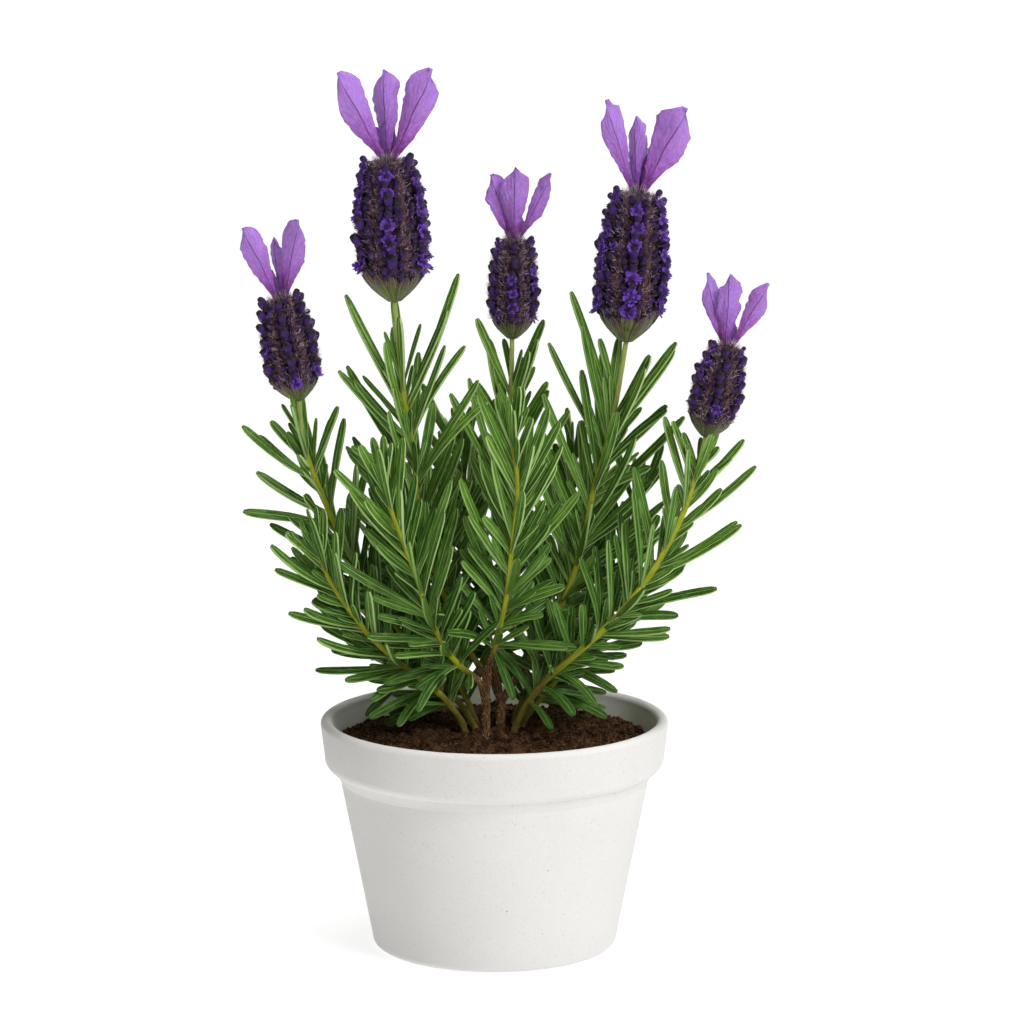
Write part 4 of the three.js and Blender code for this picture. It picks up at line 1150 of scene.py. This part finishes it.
# Half widths of a flag on its inner and outer side, as corners joined by straight cuts.
FLAG_INNER = ((0, 0.15), (0.14, 0.24), (0.3, 0.48), (0.47, 0.76), (0.62, 0.9), (0.78, 1), (0.87, 0.92),
              (0.935, 0.6), (1, 0.02))
FLAG_OUTER = ((0, 0.15), (0.14, 0.24), (0.3, 0.52), (0.47, 0.86), (0.66, 1), (0.76, 0.9), (0.87, 0.46),
              (0.95, 0.16), (1, 0.02))
FLAG_SKEW = 0.42                # how far a flag's point lies outward, in half widths
FLAG_OUT = 1.1                  # of its root from the axis
FLAG_LIFT = 0.5
FLAG_SUNK = 1.5                 # depth of its root in the spike
FLAG_ARCH = (1.38, 0.42)
FLAG_ROWS, FLAG_COLUMNS = 30, 12
FLAG_THICK = 0.28
HAIRS = 190                     # on a spike, for each mm of its width
SHORT_HAIRS = 14                # on a cup and under a tuft, likewise
DOWN_RADIUS = 0.075
HAIR_RADIUS = 0.07


def spike_radius(share):
    return 0.4 * sin(pi * min(1, 0.2 + share * 0.66)) ** 0.7


class Head:
    """One flower head's own frame and sizes."""

    def __init__(self, name, route):
        plan = HEADS[name]
        lean = Vector(plan["lean"])
        self.name, self.height, self.width, self.tuft = name, lean.length, plan["width"], plan["tuft"]
        self.rows = plan["whorls"] * 2
        self.step = (SPIKE_SHARE[1] - SPIKE_SHARE[0]) / self.rows
        # Share of open main florets, share of side buds left out, and size of closed main buds.
        self.open_share, self.bare_share, self.bud_size = (
            (0.8, 0.1, 1.06) if self.width > FULL_WIDTH else (0.35, 0.45, 1.2))
        self.place = Matrix.Translation(route.at(1) + lean.normalized() * GAP) @ (
            UP.rotation_difference(lean).to_matrix().to_4x4())
        self.draws = random.Random(SHOOTS[name]["seed"] + SEEDS["head"])

    def on_spike(self, angle, share, sunk):
        return turned(angle, self.width * (spike_radius(share) - sunk), self.height * share)

    def make(self, skin, label, paint, node, slot):
        skin.points = [self.place @ point for point in skin.points]
        skin.make(f"{label}_{self.name}", PAINTS[paint], f"{node}_{self.name}", slot)


def bulb(skin, base, axis, side, size, rows, tip, ribs, tone):
    """A small round-ended form along an axis, closed by its tip."""
    rise = axis.cross(side)
    rings = []
    for along, radius, kind in rows:
        ring = []
        for k in range(BULB_SIDES):
            angle = 2 * pi * k / BULB_SIDES
            out = (side * cos(angle) + rise * sin(angle)) * radius * size * 0.5 * (1 + ribs * (-1) ** k)
            ring.append(skin.point(base + axis * along * size + out, along=kind, tone=tone))
        rings.append(ring)
    rings.append([skin.point(base + axis * tip * size, along=rows[-1][2], tone=tone)])
    skin.loft(rings)


def floret(skin, base, axis, size, is_open, draws):
    """A downy calyx, and in it a dark closed bud, or a dark hood among ragged open lobes."""
    side = UP.cross(axis).normalized()
    side = Quaternion(axis, draws.uniform(-0.2, 0.2)) @ side
    rise = axis.cross(side)
    tone = draws.random()
    bulb(skin, base, axis, side, size, CALYX, 0.68, 0.14, tone)
    hood = (axis + rise * 0.4).normalized()
    if not is_open:
        bulb(skin, base + axis * size * 0.15, hood, side, size * 0.95, CLOSED, 1.2, 0.03, tone)
        return
    bulb(skin, base + (axis * 0.3 + rise * 0.25) * size, hood, side, size * 0.85, BUD, 1, 0.04, tone)
    for k in range(LOBES):
        angle = radians(k * GOLDEN + draws.uniform(-14, 14))
        out = side * cos(angle) + rise * sin(angle)
        mouth = base + (axis * draws.uniform(0.5, 0.68) + out * 0.045 * k ** 0.5) * size
        lobe(skin, mouth, axis, out, size * draws.uniform(0.18, 0.32), tone, draws)


def lobe(skin, mouth, axis, out, length, tone, draws):
    """One small ragged lobe, twisted and bent back."""
    level = Quaternion(out, draws.uniform(-0.7, 0.7)) @ axis.cross(out).normalized()
    bend = draws.uniform(-0.4, 1.2)
    rows = []
    for u, width in LOBE_OUTLINE:
        centre = mouth + out * length * u + axis * length * (0.5 * u - 0.55 * bend * u * u)
        row = []
        for v in LOBE_COLUMNS:
            ragged = draws.uniform(-0.1, 0.1) * u
            notch = -0.2 * (1 - abs(v)) * (u == 1)
            row.append(centre + level * v * (width + ragged) * length * 0.5 + out * length * (notch + ragged)
                       + axis * length * (0.16 * abs(v) + ragged))
        rows.append(row)
    skin.sheet(rows, LOBE_THICK, lambda r, c: {"along": 0.95 + 0.05 * r / 4, "tone": tone * (1 - r / 5)})


def make_core(head, skin):
    """The body of the spike, near black as painted shade between the florets, narrow at its foot and closed
    at its top.
    """
    rings = []
    for k in range(CORE_ROWS):
        share = mix(0.12, 1, k / (CORE_ROWS - 1))
        radius = head.width * (spike_radius(share) * 0.88 if share > 0.2 else 0.19)
        radius *= 0.45 if k == CORE_ROWS - 1 else 1
        rings.append([skin.point(turned(2 * pi * a / HEAD_SIDES, radius, head.height * share))
                      for a in range(HEAD_SIDES)])
    skin.loft(rings)


def make_spike(head):
    """Core, florets in upright ranks, and shaggy bracts in columns between the ranks."""
    draws = head.draws
    florets, scales = Skin(along=0, tone=0.5), Skin(across=0, along=0, tone=0.5)
    make_core(head, scales)
    for row in range(-1, head.rows + 1):
        for k in range(RANKS * 2):
            share, angle = SPIKE_SHARE[0] + row * head.step, k * pi / RANKS
            if k % 2 == 0:
                add_whorl(head, florets, row, k // 2, share)
            if k % 2 == 1 or row == -1:
                for part in (-1, 0, 1):
                    turn = angle + part * 0.15 + draws.uniform(-0.06, 0.06)
                    rise = share + head.step * draws.uniform(-0.7, 0.1)
                    make_scale(head, scales, turn, rise, 1.15 if part == 0 else 0.8)
    head.make(florets, "florets", "floret", "spike", "spike")
    head.make(scales, "scales", "scale", "spike", "spike")


def add_whorl(head, skin, row, rank, share):
    """What one rank carries at one height: a main floret in every other row, and low buds beside it."""
    draws = head.draws
    reach = head.width * mix(0.262, 0.21, row / head.rows)
    angle = rank * 2 * pi / RANKS + draws.uniform(-0.08, 0.08)
    if (row + rank) % 2 == 1:
        is_open = draws.random() < head.open_share
        rise = draws.uniform(0.3, 0.55) * (1 if is_open else 1.7)
        axis = (turned(angle, 1) + UP * rise).normalized()
        size = reach * (1.06 if is_open else head.bud_size)
        floret(skin, head.on_spike(angle, share - 0.3 * head.step, 0.075), axis, size, is_open, draws)
    for side in (-1, 1):
        if draws.random() < head.bare_share:
            continue
        turn = angle + side * draws.uniform(0.19, 0.27)
        axis = (turned(turn + side * 0.2, 1) + UP * draws.uniform(0.4, 0.9)).normalized()
        base = head.on_spike(turn, share - head.step * draws.uniform(0.3, 0.7), 0.07)
        floret(skin, base, axis, reach * draws.uniform(0.55, 0.78), draws.random() < 0.06, draws)


def make_scale(head, skin, angle, share, size):
    """A pointed papery bract that lies up along the spike."""
    draws = head.draws
    out, side = turned(angle, 1), turned(angle + pi / 2, 1)
    length = head.step * draws.uniform(1.3, 2.1) * size
    width = head.width * draws.uniform(0.085, 0.13) * size
    curl, tone, lean = head.width * draws.uniform(0.02, 0.085), draws.random(), draws.uniform(-0.35, 0.35)
    rows = []
    for u, wide in SCALE_OUTLINE:
        centre = head.on_spike(angle, min(share + length * u, 0.985), 0.04) + out * curl * u ** 1.5
        centre += side * lean * length * head.height * u
        rows.append([centre + side * v * width * wide * 0.5 - out * 0.2 * width * v * v
                     + UP * draws.uniform(-0.25, 0.25) for v in (-1, -0.5, 0, 0.5, 1)])
    skin.sheet(rows, SCALE_THICK, lambda r, c: {"across": (c - 2) / 2, "along": 0.1 + r / 4.4, "tone": tone})


def make_cup(head):
    """Twelve ribbed olive bracts that clasp the foot of the spike."""
    skin, draws = Skin(across=0, along=0, tone=0.5), head.draws
    rings = []
    for u in (0.04, 0.15, 0.3, 0.45, 0.6, 0.75):
        radius, z = head.width * (through(CUP_OUTLINE, u) - 0.012), head.height * (0.008 + u * CUP_REACH)
        rings.append([skin.point(turned(2 * pi * k / HEAD_SIDES, radius, z), along=u * 0.7, across=k)
                      for k in range(HEAD_SIDES)])
    skin.loft(rings)
    for k in range(CUP_BRACTS):
        angle = 2 * pi * k / CUP_BRACTS + draws.uniform(-0.12, 0.12)
        reach = (1.24 if k % 2 == 0 else 1) * draws.uniform(0.88, 1.12)
        tone, curl = draws.random(), draws.uniform(0, 0.05)
        rows = []
        for r in range(9):
            u = r / 8 * reach
            radius = head.width * (through(CUP_OUTLINE, u) + 0.01 * (k % 2) + curl * smooth(0.6, 1.1, u))
            wide = 0.36 * (1 if u < 0.5 else 1 - min((u - 0.5) / (reach - 0.48), 1) ** 1.6 * 0.94)
            z = head.height * (0.006 + u * CUP_REACH)
            rows.append([turned(angle + v * wide, radius + 0.35 * (1 - abs(v)), z) for v in CUP_COLUMNS])
        skin.sheet(rows, CUP_THICK, lambda r, c: {"across": (c - 3) / 3, "along": r / 8, "tone": tone})
    head.make(skin, "sepals", "cup", "cup", "cup")


def cut_corners(stops, draws):
    """An outline whose corners are set a little off, each its own way."""
    return [(u + (0 if u in (0, 1) else draws.uniform(-0.035, 0.035)), half * draws.uniform(0.88, 1.08))
            for u, half in stops]


def make_flag(head, skin, right, back, face, length, width, shade=0):
    """A thin waved flag with a ragged angular edge, folded along its middle vein."""
    draws = head.draws
    tilt = Vector((math.tan(radians(right)), math.tan(radians(back)), 1)).normalized()
    root = Vector((tilt.x, tilt.y, 0)).normalized() * FLAG_OUT
    root += UP * (head.height + GAP + FLAG_LIFT - FLAG_SUNK)
    shift, tone = draws.uniform(0, 50), draws.random() + shade
    outward = 1 if right > 0 else -1
    sides = {outward: cut_corners(FLAG_OUTER, draws), -outward: cut_corners(FLAG_INNER, draws)}
    skew = FLAG_SKEW * min(1, abs(right) / 14) * outward
    bend = lambda u, v, row: noise.noise(Vector((u + shift, v, row)))
    rows = []
    for r in range(FLAG_ROWS + 1):
        u = r / FLAG_ROWS
        along = UP.lerp(tilt, FLAG_ARCH[0] - FLAG_ARCH[1] * u).normalized()
        centre = root + along * (length + FLAG_SUNK) * u
        level = Quaternion(along, -radians(face)) @ Vector((along.z, 0, -along.x)).normalized()
        normal = along.cross(level)
        row = []
        for c in range(FLAG_COLUMNS + 1):
            v = 2 * c / FLAG_COLUMNS - 1
            half = width * 0.5 * through(sides[1 if v > 0 else -1], u)
            x = half * v * (1 + 0.13 * bend(u * 17, v, 4) * abs(v))
            x += skew * width * 0.5 * (smooth(0.45, 1, u) - abs(v) * smooth(0.45, 0.9, u) * 0.6)
            fold = half * (0.22 * (2 * abs(v) ** 1.3 - 1))
            wave = half * 0.3 * u * v * sin(u * 8 + shift) + 0.2 * width * u * v * v * bend(u * 3.6, v, 8)
            ripple = 0.05 * width * bend(u * 11, v * 3, 3)
            row.append(centre + level * x + normal * (fold + wave + ripple))
        rows.append(row)
    skin.sheet(rows, FLAG_THICK, lambda r, c: {
        "across": 2 * c / FLAG_COLUMNS - 1, "along": r / FLAG_ROWS, "tone": tone})


def make_tuft(head):
    """The large flags of the plan, and three short dark ones among them."""
    skin, draws = Skin(across=0, along=0, tone=0.5), head.draws
    for plan in head.tuft:
        make_flag(head, skin, *plan)
    for k in (-1, 0, 1):
        make_flag(head, skin, k * 11 + draws.uniform(-3, 3), draws.uniform(8, 24), draws.uniform(-40, 40),
                  head.width * draws.uniform(0.3, 0.5), head.width * draws.uniform(0.13, 0.19), shade=1)
    head.make(skin, "flags", "bract", "tuft", "bract")


def make_down(head):
    """Fine hairs on the spike, thickest between the ranks, on the cup, and under the flags."""
    skin, draws = Skin(tone=0.5), head.draws
    for _ in range(int(HAIRS * head.width)):
        share = draws.uniform(0.12, 0.99)
        in_rank = draws.random() < 0.2
        angle = (draws.randrange(RANKS) + (0 if in_rank else 0.5)) * 2 * pi / RANKS + draws.gauss(0, 0.16)
        lift = 0.04 if in_rank else draws.uniform(-0.02, 0.045)
        radius = head.width * (spike_radius(share) if share > 0.22 else 0.39 * share / 0.22)
        foot = turned(angle, radius + head.width * lift, head.height * share)
        way = turned(angle, 1) + UP * draws.uniform(-0.1, 1.3)
        way += turned(angle + pi / 2, 1) * draws.gauss(0, 0.6)
        clump = smooth(-0.1, 0.4, noise.noise(foot * 0.42))
        skin.needle(foot, way, draws.uniform(0.8, 2.6), DOWN_RADIUS,
                    draws.random() ** 1.6 * (0.4 if in_rank else 0.45 + 0.85 * clump))
    for _ in range(int(SHORT_HAIRS * head.width)):
        angle, u = draws.uniform(0, 2 * pi), draws.random()
        radius = head.width * through(CUP_OUTLINE, u) + 0.35
        foot = turned(angle, radius, head.height * (0.01 + u * CUP_REACH))
        way = UP + turned(angle, draws.uniform(0.25, 0.9) * (1 - 0.5 * u))
        skin.needle(foot, way, draws.uniform(1.4, 3.8), HAIR_RADIUS, draws.uniform(0.35, 1))
    for _ in range(int(SHORT_HAIRS * head.width)):
        angle, share = draws.uniform(0, 2 * pi), draws.random()
        foot = turned(angle, head.width * mix(0.04, 0.22, share), head.height * mix(1.01, 0.95, share))
        way = UP + turned(angle, draws.uniform(0.1, 0.8))
        skin.needle(foot, way, draws.uniform(1.2, 3.6), HAIR_RADIUS, draws.uniform(0, 0.62))
    head.make(skin, "down", "down", "spike", "spike")


# ---- camera, light and floor -------------------------------------------------------------

def make_camera():
    data = bpy.data.cameras.new("camera")
    data.lens, data.sensor_width = CAMERA_LENS, CAMERA_SENSOR
    data.clip_start, data.clip_end = CAMERA_CLIP
    camera = show("camera", data)
    camera.location = Vector(CAMERA_PLACE) * MM
    camera.rotation_euler = (radians(90 - CAMERA_PITCH), 0, 0)
    bpy.context.scene.camera = camera


def make_light(name, place, size, power):
    data = bpy.data.lights.new(name, "AREA")
    data.shape, data.size, data.energy = "DISK", size, power
    light = show(name, data)
    light.location = place
    light.rotation_euler = (Vector(LAMP_AIM) - Vector(place)).to_track_quat("-Z", "Y").to_euler()


def light_world(tree):
    """Even soft light, dim and warm from the left and full from the right."""
    place = tree.nodes.new("ShaderNodeTexCoord").outputs["Generated"]
    split = tree.nodes.new("ShaderNodeSeparateXYZ")
    tree.links.new(place, split.inputs[0])
    fade = tree.nodes.new("ShaderNodeMapRange")
    fade.inputs["From Min"].default_value = -1
    tree.links.new(split.outputs["X"], fade.inputs["Value"])
    mixed = tree.nodes.new("ShaderNodeMix")
    mixed.data_type = "RGBA"
    mixed.inputs[6].default_value, mixed.inputs[7].default_value = WORLD_LEFT, WORLD_RIGHT
    tree.links.new(fade.outputs[0], mixed.inputs[0])
    tree.links.new(mixed.outputs[2], tree.nodes["Background"].inputs["Color"])


def make_stage(name, points, faces, paint):
    mesh = bpy.data.meshes.new(name)
    mesh.from_pydata(points, [], faces)
    mesh.materials.append(paint.material)
    piece = show(name, mesh)
    return piece


def make_floor():
    """Pale ground that glows like the backdrop far off, and takes soft shadows near the pot."""
    paint = Paint("floor", Roughness=0.9, Base_Color=(0.35, 0.35, 0.35, 1), Specular_IOR_Level=0,
                  Emission_Color=(1, 1, 1, 1))
    paint.feed(paint.shader, "Emission Strength", paint.step(paint.spread(), *FLOOR_GLOW))
    corners = [(x * STUDIO_REACH, y * STUDIO_REACH, 0) for x, y in ((-1, -1), (1, -1), (1, 1), (-1, 1))]
    make_stage("floor", corners, [(0, 1, 2, 3)], paint)


def make_backdrop():
    """A white ring that only the camera sees."""
    paint = Paint("backdrop", Roughness=1, Emission_Color=(1, 1, 1, 1), Emission_Strength=1)
    count = BACKDROP_SIDES
    points = circle(STUDIO_REACH, BACKDROP_FOOT, count) + circle(STUDIO_REACH, STUDIO_REACH, count)
    faces = [(k, (k + 1) % count, (k + 1) % count + count, k + count) for k in range(count)]
    backdrop = make_stage("backdrop", points, faces, paint)
    backdrop.visible_diffuse = backdrop.visible_glossy = backdrop.visible_shadow = False


def make_studio():
    make_floor()
    make_backdrop()
    world = bpy.data.worlds.new("studio")
    world.use_nodes = True
    light_world(world.node_tree)
    bpy.context.scene.world = world
    for name, lamp in LAMPS.items():
        make_light(name, *lamp)
    bpy.context.scene.view_settings.view_transform = "Standard"


# ---- the whole plant ---------------------------------------------------------------------

make_camera()
make_studio()
make_pot()
make_soil()
make_crumbs()
ROUTES = {name: Route(shoot["route"]) for name, shoot in SHOOTS.items()}
make_trunks(ROUTES)
for shoot_name, grown_leaves in grow_leaves(ROUTES).items():
    make_stem(shoot_name, ROUTES[shoot_name])
    make_leaves(shoot_name, ROUTES[shoot_name], grown_leaves)
for head_name in HEADS:
    flower = Head(head_name, ROUTES[head_name])
    make_spike(flower)
    make_cup(flower)
    make_tuft(flower)
    make_down(flower)
